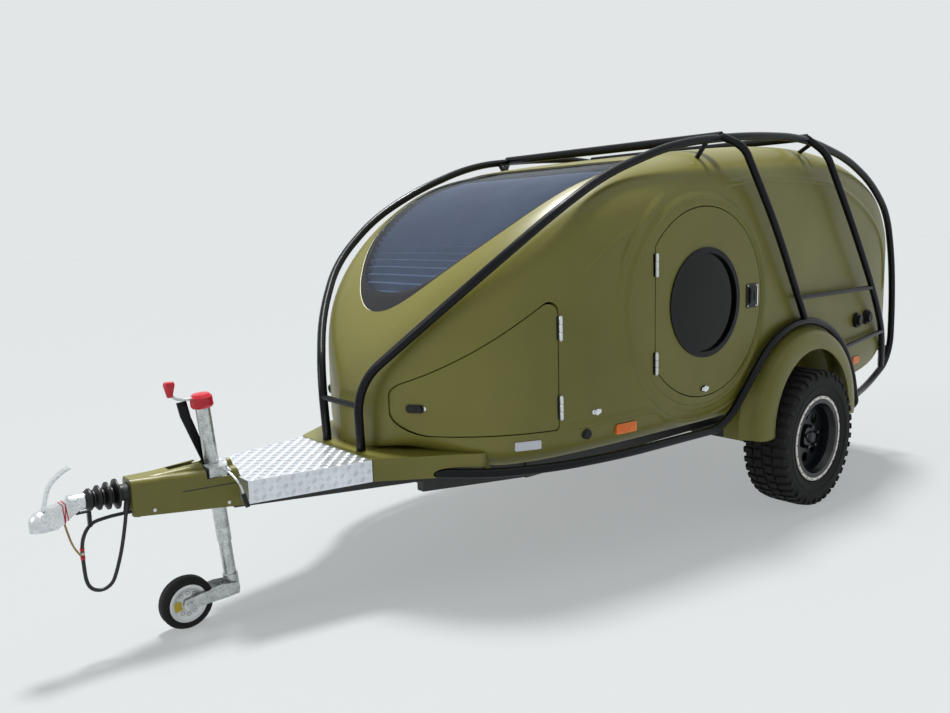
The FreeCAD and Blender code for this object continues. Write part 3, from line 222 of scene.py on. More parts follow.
finishes = {
    "body_paint": worn("oliveSatinPaint", (119, 115, 48), (106, 103, 41), 0.4, grain=260, depth=0.00012,
        patch=1.6, coat=0.08, specular=0.38),
    "window": tinted("darkGlass", (5, 5, 4), 0.0, 0.2),
    "frame_black": worn("frameBlackCoat", (4, 5, 9), (8, 9, 13), 0.24, grain=500, depth=0.0001,
        specular=0.2),
    "chassis_black": worn("chassisBlack", (20, 20, 21), (30, 29, 28), 0.5, grain=200),
    "tread_plate": worn("brightAluminium", (226, 230, 236), (204, 208, 214), 0.34, metallic=0.9,
        depth=0.0001),
    "galvanised": zinced("galvanisedSteel", (214, 218, 218), (172, 176, 176), 0.3),
    "cast_grey": worn("castIron", (70, 71, 72), (52, 53, 54), 0.6, metallic=0.6, grain=90),
    "soft_black": worn("rubberBlack", (8, 8, 9), (14, 14, 15), 0.42, specular=0.35),
    "tyre": worn("tyreRubber", (14, 14, 15), (30, 29, 28), 0.78, patch=9, specular=0.3),
    "wheel_black": worn("wheelBlack", (6, 7, 11), (11, 12, 16), 0.3, grain=90, specular=0.4),
    "plastic_black": worn("plasticBlack", (9, 9, 11), (15, 15, 17), 0.42, grain=600, specular=0.35),
    "plastic_red": worn("plasticRed", (206, 22, 42), (182, 16, 34), 0.28),
    "amber": worn("amberLens", (240, 118, 30), (252, 140, 52), 0.18),
    "lens_white": worn("whiteLens", (214, 216, 226), (200, 202, 212), 0.35, grain=500),
    "lens_red": worn("redLens", (150, 10, 12), (120, 8, 10), 0.2),
    "board": worn("birchBoard", (196, 168, 122), (172, 142, 98), 0.5, grain=40, stretch=(1.0, 12.0, 12.0)),
    "cloth_grey": worn("mattressCloth", (150, 150, 148), (132, 132, 130), 0.9, grain=900),
    "blind": worn("pleatedCloth", (206, 208, 212), (190, 193, 198), 0.9, grain=900),
    "strap_tan": worn("strapWeave", (152, 124, 78), (184, 158, 104), 0.85, grain=700),
    "chrome": worn("brightChrome", (224, 226, 228), (206, 208, 212), 0.15, metallic=1.0, grain=90)}

# Finishes of details that share a slot with a plainer one
brightZinc = zinced("brightZinc", (226, 229, 231), (198, 202, 204), 0.2)
sheath = worn("cableSheath", (12, 12, 13), (22, 22, 23), 0.38, grain=400)
inkBlack = worn("glassBorder", (5, 6, 13), (8, 9, 17), 0.25, grain=200, depth=0.0, specular=0.3)
clearTint = tinted("clearTint", (46, 52, 64), 0.72, 0.9)
# Pale cream seal colour: a painted highlight where the wall of the window opening catches light
creamSeal = worn("creamSeal", (236, 232, 200), (224, 220, 186), 0.5)
tapeWhite = worn("tapeWhite", (226, 222, 210), (210, 204, 190), 0.6, grain=500)
ringSilver = worn("ringAluminium", (232, 228, 222), (216, 212, 206), 0.42, metallic=0.35, grain=400)
hingeSilver = worn("hingeSilver", (228, 230, 230), (212, 214, 216), 0.3, metallic=0.55, grain=400)
labelYellow = worn("labelYellow", (214, 190, 40), (198, 172, 34), 0.45)

slotOf = {part["node"]: part["material_slot"] for part in frame["record"]["subparts"]}
for name, node in nodes.items():
    node.data.materials.clear()
    node.data.materials.append(finishes[slotOf[name]])
for name in ("coupling_head", "coupling_lever"):
    nodes[name].data.materials[0] = brightZinc
print("finishes made:", len(finishes))


# Shape builder: points and faces that end up as one piece
class Shape:
    def __init__(self):
        self.points, self.faces = [], []

    def add(self, points, faces):
        start = len(self.points)
        self.points += [Vector(point) for point in points]
        self.faces += [tuple(start + i for i in face) for face in faces]

    def lid(self, count):  # face over the last points
        start = len(self.points) - count
        self.faces.append(tuple(start + i for i in range(count)))

    def rows(self, rows, closed=False, wrap=False, capped=False):
        count, points = len(rows[0]), [point for row in rows for point in row]
        faces = []
        last = len(rows) if wrap else len(rows) - 1
        for i in range(last):
            for j in range(count if closed else count - 1):
                k, low, high = (j + 1) % count, i * count, (i + 1) % len(rows) * count
                faces.append((low + j, low + k, high + k, high + j))
        if capped:
            faces += [tuple(range(count))[::-1], tuple((len(rows) - 1) * count + j for j in range(count))]
        self.add(points, faces)

    def lathe(self, profile, centre, axis, steps=24):  # profile: places along the axis, with radii
        axis = Vector(axis).normalized()
        side = axis.orthogonal().normalized()
        other = axis.cross(side)
        rows = []
        for along, radius in profile:
            rows.append([Vector(centre) + axis * along + (side * cos(angle) + other * sin(angle)) * radius
                         for angle in around(steps)])
        self.rows(rows, closed=True)

    def sweep(self, path, ups, ring, closed=False):
        rows = []
        for i, point in enumerate(path):
            before = path[i - 1] if i or closed else point
            after = path[(i + 1) % len(path)] if i < len(path) - 1 or closed else point
            along = (after - before).normalized()
            side = ups[i].cross(along).normalized()
            up = along.cross(side)
            rows.append([point + (side * a + up * b) for a, b in ring])
        self.rows(rows, closed=True, wrap=closed, capped=not closed)

    # Flat piece with chamfered rim: outline in two directions, standing on a point
    def slab(self, outline, centre, across, up, thickness, chamfer):
        normal = across.cross(up).normalized()
        middle = Vector((sum(a for a, b in outline), sum(b for a, b in outline))) / len(outline)
        rows = []
        for rise, draw in ((0.0, 0.0), (thickness - chamfer, 0.0), (thickness, chamfer)):
            row = []
            for a, b in outline:
                spot = Vector((a, b))
                reach = (spot - middle).length
                spot = middle + (spot - middle) * ((reach - draw) / reach)
                row.append(Vector(centre) + across * spot.x + up * spot.y + normal * rise)
            rows.append(row)
        self.rows(rows, closed=True)
        self.lid(len(outline))

    def mirrored(self):
        other = Shape()
        other.add([Vector((p.x, -p.y, p.z)) for p in self.points], self.faces)
        return other

    def addMirror(self):
        self.add(self.mirrored().points, [face[::-1] for face in self.faces])

    def piece(self, name, slot, body="trailer", material=None, sharp=38.0):
        data = bpy.data.meshes.new(name)
        data.from_pydata([tuple(point) for point in self.points], [], self.faces)
        form = bmesh.new()
        form.from_mesh(data)
        bmesh.ops.remove_doubles(form, verts=form.verts, dist=0.00002)
        bmesh.ops.recalc_face_normals(form, faces=form.faces)
        form.to_mesh(data)
        form.free()
        data.shade_smooth()
        data.set_sharp_from_angle(angle=radians(sharp))
        data.materials.append(material or finishes[slot])
        made = placed(name, data)
        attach(made, body)
        return made


def bothPieces(shape, name, slot, body="trailer", material=None, sharp=38.0):
    for side, form in (("left", shape), ("right", shape.mirrored())):
        rides = body if body == "trailer" else body + "_" + side
        form.piece(name + side.capitalize(), slot, rides, material, sharp)


def roundedOutline(width, height, corner, steps=5):
    points = []
    for k, (a, b) in enumerate(((1, 1), (-1, 1), (-1, -1), (1, -1))):
        for i in range(steps + 1):
            angle = pi / 2.0 * (k + i / steps)
            points.append((a * (width / 2.0 - corner) + corner * cos(angle),
                           b * (height / 2.0 - corner) + corner * sin(angle)))
    return points


def roundRing(radius, steps=8):
    return [(radius * cos(angle), radius * sin(angle)) for angle in around(steps)]


def smoothPath(spots, step, parts=12):  # even points along a Catmull-Rom curve
    spots = [Vector(spot) for spot in spots]
    spots = [spots[0] * 2 - spots[1]] + spots + [spots[-1] * 2 - spots[-2]]
    fine = []
    for i in range(1, len(spots) - 2):
        a, b, c, d = spots[i - 1:i + 3]
        for k in range(parts):
            t = k / parts
            fine.append(0.5 * (2 * b + (c - a) * t + (2 * a - 5 * b + 4 * c - d) * t * t
                               + (3 * b - a - 3 * c + d) * t ** 3))
    fine.append(spots[-2])
    path, travelled, wanted = [fine[0]], 0.0, step
    for before, after in zip(fine, fine[1:]):
        length = (after - before).length
        while length and wanted <= travelled + length:
            path.append(before.lerp(after, (wanted - travelled) / length))
            wanted += step
        travelled += length
    return path


# Skin of the rigid pieces, for seating details on it
def skinOf(*names):
    points, faces = [], []
    for name in names:
        mesh, place, start = nodes[name].data, nodes[name].matrix_world, len(points)
        points += [place @ vertex.co for vertex in mesh.vertices]
        faces += [tuple(start + i for i in polygon.vertices) for polygon in mesh.polygons]
    return BVHTree.FromPolygons(points, faces)


def wrapped(skin, spots, reach, proud):  # points round a thing, from middles and ways out
    hits = [(skin.ray_cast(place + way * reach, -way)[0], way) for place, way in spots]
    return [hit + way * proud for hit, way in hits if hit is not None]


def sideSpot(x, z, skin, reach=1.3):  # place and normal on the left side
    return skin.ray_cast(at(x, reach, z), rightward)[:2]


def topSpot(x, y, skin, reach=2.4):  # place and normal on the top
    return skin.ray_cast(at(x, y, reach), downward)[:2]


bpy.context.view_layer.update()

# Cords, along the same routes as in the part
cable = {"radius": 0.0065, "length": 0.72, "line": [
    (3.145, 0.013, 0.499), (3.156, 0.014, 0.44), (3.172, 0.012, 0.366), (3.192, 0.011, 0.3),
    (3.212, 0.009, 0.25), (3.254, 0.006, 0.235), (3.294, 0.002, 0.262), (3.298, -0.003, 0.345),
    (3.296, -0.008, 0.43), (3.262, -0.011, 0.484), (3.205, -0.012, 0.491), (3.158, -0.013, 0.492),
    (3.112, -0.012, 0.491)]}
strap = {"radius": 0.0035, "length": 0.145, "line": [
    (3.349, 0.008, 0.515), (3.339, 0.007, 0.461), (3.323, 0.004, 0.408), (3.303, -0.002, 0.378)]}


def softLine(name, facts, material):
    data = bpy.data.curves.new(name, "CURVE")
    data.dimensions = "3D"
    data.bevel_depth = facts["radius"]
    data.bevel_resolution = 8
    data.resolution_u = 24
    data.use_fill_caps = True
    line = data.splines.new("NURBS")
    line.points.add(len(facts["line"]) - 1)
    for point, (x, y, z) in zip(line.points, facts["line"]):
        point.co = (x + axleX, y, z, 1.0)
    line.order_u = 3
    line.use_endpoint_u = True
    data.materials.append(material)
    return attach(placed(name, data), "trailer")


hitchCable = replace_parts(softLine("hitchCable", cable, sheath), "electric_cable")
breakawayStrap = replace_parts(softLine("breakawayStrap", strap, finishes["strap_tan"]), "breakaway_strap")
print("cords laid")


# Raised creases of the body side. Rings: middle, radius, first and last degree. Lines: X and height
creases = {
    "height": 0.009, "steep": 0.01, "fade": 0.03, "sunk": 0.0002, "taper": 7.0, "step": 0.012,
    "ringSteps": 180, "closed": 0.02, "turned": 0.2,
    "rings": [(0.79, 1.103, 0.475, -180, 180), (0.77, 1.103, 0.548, -150, 62)],
    "lines": [
        [(0.653, 1.618), (0.512, 1.64), (0.326, 1.659), (0.028, 1.656), (-0.335, 1.641), (-0.534, 1.591),
         (-0.802, 1.48), (-0.987, 1.35), (-1.079, 1.189), (-1.087, 1.002)],
        [(1.606, 0.646), (1.514, 0.641), (1.34, 0.649), (1.114, 0.648), (1.048, 0.614), (0.963, 0.571)],
        [(1.206, 1.459), (1.265, 1.388), (1.304, 1.308), (1.318, 1.24)],
        [(1.508, 1.277), (1.408, 1.353), (1.301, 1.417), (1.206, 1.462)]]}


def creaseRow(skin, spot, out, swell):  # points across the crease, or None off the body's side
    steep, fade = creases["steep"], creases["fade"]
    row = []
    for offset, rise in ((-steep, -0.12), (-0.6 * steep, 0.35), (-0.2 * steep, 0.9), (0.1 * steep, 1.0),
                         (0.3 * fade, 0.72), (0.65 * fade, 0.3), (fade, -0.12)):
        place = spot + out * offset
        hit, normal = sideSpot(place.x, place.y, skin)
        if hit is None or normal.y < creases["turned"]:
            return None
        row.append(hit + normal * (rise * creases["height"] * swell - creases["sunk"] * (1.0 - swell)))
    return row


def creaseStrip(shape, skin, path):  # steep on one side of the path, fading out on the other
    rows = []
    closed = (path[0] - path[-1]).length <= creases["closed"]
    for i, spot in enumerate(path):
        before, after = path[max(i - 1, 0)], path[min(i + 1, len(path) - 1)]
        along = (after - before).normalized()
        swell = 1.0 if closed else min(1.0, min(i, len(path) - 1 - i) / creases["taper"])
        rows.append(creaseRow(skin, spot, Vector((along.y, -along.x)), swell))
    run = []
    for row in rows + [None]:
        if row is not None:
            run.append(row)
            continue
        if len(run) > 2:
            shape.rows(run)
        run = []


def addCreases():
    skin = skinOf("body_left")
    shape = Shape()
    for x, z, radius, low, high in creases["rings"]:
        angles = [radians(low + (high - low) * i / creases["ringSteps"])
                  for i in range(creases["ringSteps"] + 1)]
        creaseStrip(shape, skin, [Vector((x + radius * cos(a), z + radius * sin(a))) for a in angles])
    for line in creases["lines"]:
        flat = smoothPath([(x, z, 0) for x, z in line], creases["step"])
        creaseStrip(shape, skin, [Vector((p.x, p.y)) for p in flat])
    bothPieces(shape, "bodyCreases", "body_paint", sharp=60.0)


addCreases()
print("creases pressed")


# Front window: clear pane, printed border, seal in pale cream as a painted highlight where the wall of the
# opening catches light. Rays from above find its outline, from the middle
# outward. Border: share of its width, with depth. Seal: reach outward, with depth
window = {
    "recess": 0.006, "thickness": 0.005, "slack": 0.0015, "border": 0.02, "tip": 0.075, "tipReach": 0.16,
    "middle": (1.5, 0.0), "steps": 240, "near": 0.1, "far": 0.9, "halvings": 18, "turned": 0.1,
    "shares": (1.0, 0.93, 0.82, 0.68, 0.52, 0.35, 0.18, 0.02),
    "borderRows": ((0.0, 0.0003), (0.0, -0.0005), (0.5, -0.0006), (0.94, -0.0005), (1.0, 0.0003)),
    "sealRows": ((0.0058, 0.013), (0.0058, 0.0052), (0.004, 0.004), (0.0018, 0.005),
                 (0.001, 0.0068))}
noseSkin = skinOf("body_left", "body_right", "front_window")
paneSkin = skinOf("front_window")


def windowOutline(inset):
    x, y = window["middle"]
    points = []
    for angle in around(window["steps"]):
        low, high = window["near"], window["far"]
        for k in range(window["halvings"]):
            reach = (low + high) / 2.0
            spot, normal = topSpot(x + reach * cos(angle), y + reach * sin(angle), paneSkin)
            if spot is not None and normal.z > window["turned"]:
                low = reach
            else:
                high = reach
        points.append(Vector((x + low * cos(angle), y + low * sin(angle))))
    moved = []
    for i, point in enumerate(points):
        along = (points[(i + 1) % len(points)] - points[i - 1]).normalized()
        moved.append(point + Vector((-along.y, along.x)) * inset)
    return moved


def onNose(x, y, depth):
    spot, normal = topSpot(x, y, noseSkin)
    return spot - normal * depth


def paneRows(outline, depth):
    middle = Vector(window["middle"])
    return [[onNose(*(middle + (point - middle) * share), depth) for point in outline]
            for share in window["shares"]]


def addPane(rim):
    shape = Shape()
    back = window["recess"] + window["thickness"]
    outer = [[onNose(point.x, point.y, back) for point in rim]] + paneRows(rim, window["recess"])
    for rows in (outer, paneRows(rim, back)):
        shape.rows(rows, closed=True)
        shape.lid(len(rim))
    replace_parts(shape.piece("frontPane", "window", material=clearTint), "front_window")


def addBorder(rim):  # wider at the tip of the nose
    tip = max(point.x for point in rim)
    inner = []
    for narrow, wide in zip(windowOutline(window["border"]), windowOutline(window["tip"])):
        share = max(0.0, min(1.0, 1.0 - (tip - narrow.x) / window["tipReach"])) ** 2
        inner.append(narrow.lerp(wide, share))
    shape = Shape()
    shape.rows([[onNose(*a.lerp(b, share), window["recess"] + depth) for a, b in zip(rim, inner)]
                for share, depth in window["borderRows"]], closed=True)
    shape.piece("frontBorder", "window", material=inkBlack)


def addSeal(rim):
    rows = []
    for reach, depth in window["sealRows"]:
        row = []
        for i, point in enumerate(rim):
            spot, normal = topSpot(point.x, point.y, paneSkin)
            along = rim[(i + 1) % len(rim)] - rim[i - 1]
            away = Vector((along.x, along.y, 0)).normalized().cross(normal)
            row.append(spot + away.normalized() * reach - normal * depth)
        rows.append(row)
    shape = Shape()
    shape.rows(rows, closed=True)
    # the seal's pale cream is a painted highlight of the opening's lit wall
    shape.piece("frontSeal", "blind", material=creamSeal)


paneRim = windowOutline(window["slack"])
addPane(paneRim)
addBorder(paneRim)
addSeal(paneRim)

# Pleated blind behind the front part of the window
pleats = {"pitch": 0.034, "rise": 0.018, "depth": 0.036, "columns": 34, "inset": 0.012, "rear": 1.125,
          "end": 0.006, "thickness": 0.0006}


def halfAcross(outline, x):  # half width of the outline at a place along X
    widest = 0.0
    for a, b in zip(outline, outline[1:] + outline[:1]):
        if (a.x - x) * (b.x - x) <= 0.0 and a.x != b.x:
            widest = max(widest, abs(a.y + (b.y - a.y) * (x - a.x) / (b.x - a.x)))
    return widest


def pleatedForm():
    outline = windowOutline(pleats["inset"])
    front = max(point.x for point in outline)
    rows, x = [], pleats["rear"] + pleats["end"]
    while x < front - pleats["end"]:
        half = halfAcross(outline, x)
        depth = pleats["depth"] + pleats["rise"] * (0.5 if len(rows) % 2 else -0.5)
        rows.append([onNose(x, half * (2.0 * j / pleats["columns"] - 1.0), depth)
                     for j in range(pleats["columns"] + 1)])
        x += pleats["pitch"] / 2.0
    shape = Shape()
    shape.rows(rows)
    return shape


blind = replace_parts(pleatedForm().piece("pleatedBlind", "blind", sharp=20.0), "window_blind")
thick = blind.modifiers.new("thickness", "SOLIDIFY")
thick.thickness = pleats["thickness"]
print("front window glazed")


# Tyres with tread blocks. Inner and outer block: metres across, shares of the pitch round
tread = {
    "radius": 0.3535, "groove": 0.0105, "pitches": 42, "bead": 0.2035, "narrower": 0.9, "shorter": 0.88,
    "flank": 0.7, "sunk": 0.004, "fall": 0.011, "fallFrom": 0.05, "fallOver": 0.066, "steps": 120,
    "ribSteps": 96, "biteEnds": (0.1, 0.6), "biteDepth": 0.006,
    "inner": [(0.006, 0.05), (0.03, -0.1), (0.05, 0.1), (0.047, 0.78), (0.028, 0.66), (0.005, 0.8)],
    "outer": [(0.057, 0.02), (0.083, 0.12), (0.112, 0.05), (0.113, 0.62), (0.084, 0.72), (0.054, 0.62)]}
tread["base"] = tread["radius"] - tread["groove"]


def addCarcass(shape, centre):  # sidewalls and the floor of the grooves, with ribs on the sidewalls
    base, bead = tread["base"], tread["bead"]
    profile = [(-0.068, bead - 0.004), (-0.082, bead), (-0.09, bead + 0.006), (-0.099, bead + 0.022),
               (-0.11, bead + 0.048), (-0.1155, bead + 0.078), (-0.1145, bead + 0.1),
               (-0.1105, base - 0.022), (-0.102, base - 0.008), (-0.085, base - 0.001), (0.0, base + 0.001)]
    shape.lathe(profile + [(-a, r) for a, r in reversed(profile[:-1])], centre, leftward, tread["steps"])
    for side in (-1, 1):
        for radius, along in ((bead + 0.02, 0.0985), (bead + 0.068, 0.115)):
            shape.lathe([(side * (along - 0.001), radius - 0.0035), (side * (along + 0.0012), radius - 0.002),
                         (side * (along + 0.0016), radius + 0.001), (side * along, radius + 0.0035)],
                        centre, leftward, tread["ribSteps"])


def roundSpot(centre, radius, across, angle):
    return centre + Vector((radius * cos(angle), across, radius * sin(angle)))


def addBlock(shape, centre, corners, turn):  # corners: metres across and round
    top = tread["radius"]
    midAcross = sum(across for across, along in corners) / len(corners)
    midAlong = sum(along for across, along in corners) / len(corners)
    low, high = [], []
    for across, along in corners:
        topAcross = midAcross + (across - midAcross) * tread["narrower"]
        topAlong = midAlong + (along - midAlong) * tread["shorter"]
        fall = tread["fall"] * max(0.0, (abs(topAcross) - tread["fallFrom"]) / tread["fallOver"]) ** 2
        low.append(roundSpot(centre, tread["base"] - tread["sunk"] - fall, across, turn + along / top))
        high.append(roundSpot(centre, top - fall, topAcross, turn + topAlong / top))
    shape.rows([low, [p.lerp(q, tread["flank"]) for p, q in zip(low, high)], high], closed=True)
    shape.lid(len(high))


def addBite(shape, centre, side, turn, pitch, shift):  # edge that runs down the shoulder
    base = tread["base"]
    face = []
    for share in tread["biteEnds"]:
        angle = turn + (share * pitch + shift) / tread["radius"]
        face.append([roundSpot(centre, radius, side * along, angle)
                     for along, radius in ((0.1045, base - 0.002), (0.1155, base - 0.01),
                                           (0.1168, base - 0.026), (0.1135, base - 0.04))])
    inside = [[point - leftward * (side * tread["biteDepth"]) for point in row] for row in face]
    shape.rows([inside[0], face[0], face[1], inside[1]])


def tyreForm(middleY):
    shape = Shape()
    centre = at(0.0, middleY, axleZ)
    addCarcass(shape, centre)
    pitch = tau * tread["radius"] / tread["pitches"]
    for i in range(tread["pitches"]):
        turn = tau * i / tread["pitches"]
        for side in (-1, 1):
            shift = 0.0 if side < 0 else 0.5 * pitch
            for corners in (tread["inner"], tread["outer"]):
                addBlock(shape, centre, [(side * a, b * pitch + shift) for a, b in corners], turn)
            if i % 2:
                addBite(shape, centre, side, turn, pitch, shift)
    return shape


for side in ("left", "right"):
    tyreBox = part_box("tyre_" + side)
    tyre = tyreForm((tyreBox[0][1] + tyreBox[1][1]) / 2.0)
    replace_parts(tyre.piece("treadedTyre" + side.capitalize(), "tyre", "wheel_" + side, sharp=30.0),
                "tyre_" + side)
print("tyres treaded")


# Bolted ring, wheel nuts and hub cap
trim = {
    "ring": 0.2125, "lip": 0.199, "lipAngles": (0.1, 1.3, 2.6, 4.0), "bolts": 24, "nuts": 5,
    "nutCircle": 0.056, "nutTurn": 0.3, "hubEdge": 0.012,
    "ringProfile": [(-0.003, -0.0085), (0.0016, -0.0075), (0.0028, -0.005), (0.0028, 0.004),
                    (0.0014, 0.0065), (-0.003, 0.007)],
    "bolt": [(0.001, 0.0036), (0.0042, 0.0034), (0.005, 0.0026), (0.0051, 0.0)],
    "nut": [(-0.002, 0.0125), (0.002, 0.0125), (0.003, 0.0098), (0.013, 0.0098), (0.0155, 0.0082),
            (0.016, 0.0)],
    "hub": [(-0.004, 0.031), (0.004, 0.031), (0.006, 0.029), (0.016, 0.027), (0.021, 0.022),
            (0.0235, 0.012), (0.024, 0.0)]}


def addWheelTrim():
    skin = skinOf("wheel_left")

    def face(x, z):
        return sideSpot(x, axleZ + z, skin)[0]

    lip = [face(trim["lip"] * cos(a), trim["lip"] * sin(a)) for a in trim["lipAngles"]]
    ringY = max(spot.y for spot in lip if spot is not None)
    ring, bolts, nuts = Shape(), Shape(), Shape()
    ring.lathe([(along, trim["ring"] + offset) for along, offset in trim["ringProfile"]],
               at(0, ringY, axleZ), leftward, 128)
    for angle in around(trim["bolts"]):
        spot = at(trim["ring"] * cos(angle), ringY, axleZ + trim["ring"] * sin(angle))
        bolts.lathe(trim["bolt"], spot, leftward, 6)
    bothPieces(ring, "rimRing", "chrome", "wheel", ringSilver)
    bothPieces(bolts, "ringBolts", "plastic_black", "wheel")
    for angle in around(trim["nuts"]):
        turned = angle + trim["nutTurn"]
        spot = face(trim["nutCircle"] * cos(turned), trim["nutCircle"] * sin(turned))
        nuts.lathe(trim["nut"], spot, leftward, 6)
    nuts.lathe(trim["hub"], at(0, face(trim["hubEdge"], 0.0).y, axleZ), leftward, 40)
    bothPieces(nuts, "wheelNuts", "wheel_black", "wheel")


addWheelTrim()
print("wheels trimmed")


# Bright hinge sleeves: alternate knuckles ride with what they carry. Hinges: X and Y, sleeves' heights
sleeve = {"radius": 0.0078, "length": 0.096, "knuckles": 3, "gap": 0.0012, "edge": 0.0008,
          "pin": [(0.0, 0.0062), (0.0022, 0.0056), (0.0036, 0.0036), (0.004, 0.0)]}
hinges = {"door": (1.1125, 0.767151, (0.862, 1.288)), "hatch": (1.6195, 0.685363, (0.735, 1.06))}


def knuckles(shape, start, odd):
    r, edge = sleeve["radius"], sleeve["edge"]
    each = sleeve["length"] / sleeve["knuckles"]
    for i in range(odd, sleeve["knuckles"], 2):
        low, high = i * each + sleeve["gap"] / 2.0, (i + 1) * each - sleeve["gap"] / 2.0
        shape.lathe([(low, r - 0.0016), (low, r - 0.0006), (low + edge, r), (high - edge, r),
                     (high, r - 0.0006), (high, r - 0.0016)], start, upward)


def pinEnds(shape, start):
    for end, way in ((0.0, -1.0), (sleeve["length"], 1.0)):
        shape.lathe([(end + way * along, radius) for along, radius in sleeve["pin"]], start, upward, 16)


def addSleeves():
    fixed = Shape()
    moving = {body: Shape() for body in hinges}
    for body, (x, y, heights) in hinges.items():
        for z in heights:
            start = at(x, y, z - sleeve["length"] / 2.0)
            knuckles(fixed, start, 0)
            pinEnds(fixed, start)
            knuckles(moving[body], start, 1)
    bothPieces(fixed, "fixedSleeves", "chrome", material=hingeSilver)
    for body, shape in moving.items():
        bothPieces(shape, body + "Sleeves", "chrome", body, hingeSilver)


addSleeves()
print("hinges sleeved")


# Raised bars of the tread plate, five to a cell, turned in every other cell
plate = {"cell": 0.028, "length": 0.022, "width": 0.0034, "rise": 0.0013, "pitch": 0.0046, "sunk": 0.0003,
         "shoulder": 0.55, "crest": 0.6, "shorter": 0.12, "facing": -0.9, "probe": (0.5, 0.06),
         "endProbe": (0.02, 0.002), "foot": 0.003, "sideCells": (18, 4)}
plateSkin = skinOf("tread_plate_box")


def addBar(shape, place, along, normal, length):
    across = normal.cross(along)
    half, wide = length / 2.0, plate["width"] / 2.0
    inner = half * plate["shoulder"]
    low = [place - normal * plate["sunk"] + along * a + across * b for a, b in (
        (-half, 0), (-inner, -wide), (inner, -wide), (half, 0), (inner, wide), (-inner, wide))]
    high = [place + normal * plate["rise"] + along * (half * a) for a in (-plate["crest"], plate["crest"])]
    shape.add(low + high, [(0, 1, 6), (1, 2, 7, 6), (2, 3, 7), (3, 4, 7), (4, 5, 6, 7), (5, 0, 6)])


def onPlate(spot, ray, reach, slack):  # place and normal, where the sheet lies at the spot
    hit, normal, face, distance = plateSkin.ray_cast(spot - ray * reach, ray)
    near = hit is not None and abs(distance - reach) <= slack
    return (hit, normal) if near else (None, None)


def barField(start, right, up, cells, ray):
    shape = Shape()
    for i in range(cells[0]):
        for j in range(cells[1]):
            turn = radians(45.0 if (i + j) % 2 else -45.0)
            for k in range(-2, 3):
                offset = k * plate["pitch"]
                a = (i + 0.5) * plate["cell"] - offset * sin(turn)
                b = (j + 0.5) * plate["cell"] + offset * cos(turn)
                hit, normal = onPlate(start + right * a + up * b, ray, *plate["probe"])
                if hit is None or normal.dot(ray) > plate["facing"]:
                    continue
                along = right * cos(turn) + up * sin(turn)
                along = (along - normal * along.dot(normal)).normalized()
                length = plate["length"] * (1.0 - plate["shorter"] * abs(k))
                reach = along * (length * plate["shoulder"])
                ends = [onPlate(spot, ray, *plate["endProbe"])[0] for spot in (hit - reach, hit + reach)]
                if None not in ends:
                    addBar(shape, hit, along, normal, length)
    return shape


def addTreadBars():
    low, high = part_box("tread_plate_box")
    cells = [int((high[i] - low[i]) / plate["cell"]) + 1 for i in range(2)]
    bars = barField(Vector((low[0], low[1], high[2])), ahead, leftward, cells, downward)
    slant = Vector((0.4807, -0.092, 0)).normalized()
    sideBars = barField(Vector((low[0], high[1], low[2] + plate["foot"])), slant, upward, plate["sideCells"],
                        Vector((slant.y, -slant.x, 0)))
    sideBars.addMirror()
    bars.add(sideBars.points, sideBars.faces)
    bars.piece("treadBars", "tread_plate", sharp=60.0)
    print("tread plate patterned:", len(bars.faces) // 6, "bars")


addTreadBars()

# Latch, handle, lock and lamp details on the left, all but the caps mirrored to the right
fittingSkin = skinOf("door_left", "door_fittings_left", "hatch_left", "hatch_fittings_left",
                     "body_left", "hatch_locks", "marker_lamps", "reflectors", "side_sockets")


def fittingForm(parts, sunk=0.0006):
    shape = Shape()
    for x, z, form in parts:
        hit, normal = sideSpot(x, z, fittingSkin)
        across = upward.cross(normal).normalized()
        if isinstance(form, list):
            shape.lathe(form, hit, normal)
        elif isinstance(form[1], list):
            shape.lathe(form[1], hit, normal, form[0])
        else:
            width, height, corner, thickness, chamfer = form
            shape.slab(roundedOutline(width, height, corner), hit - normal * sunk, across,
                       normal.cross(across), thickness + sunk, chamfer)
    return shape


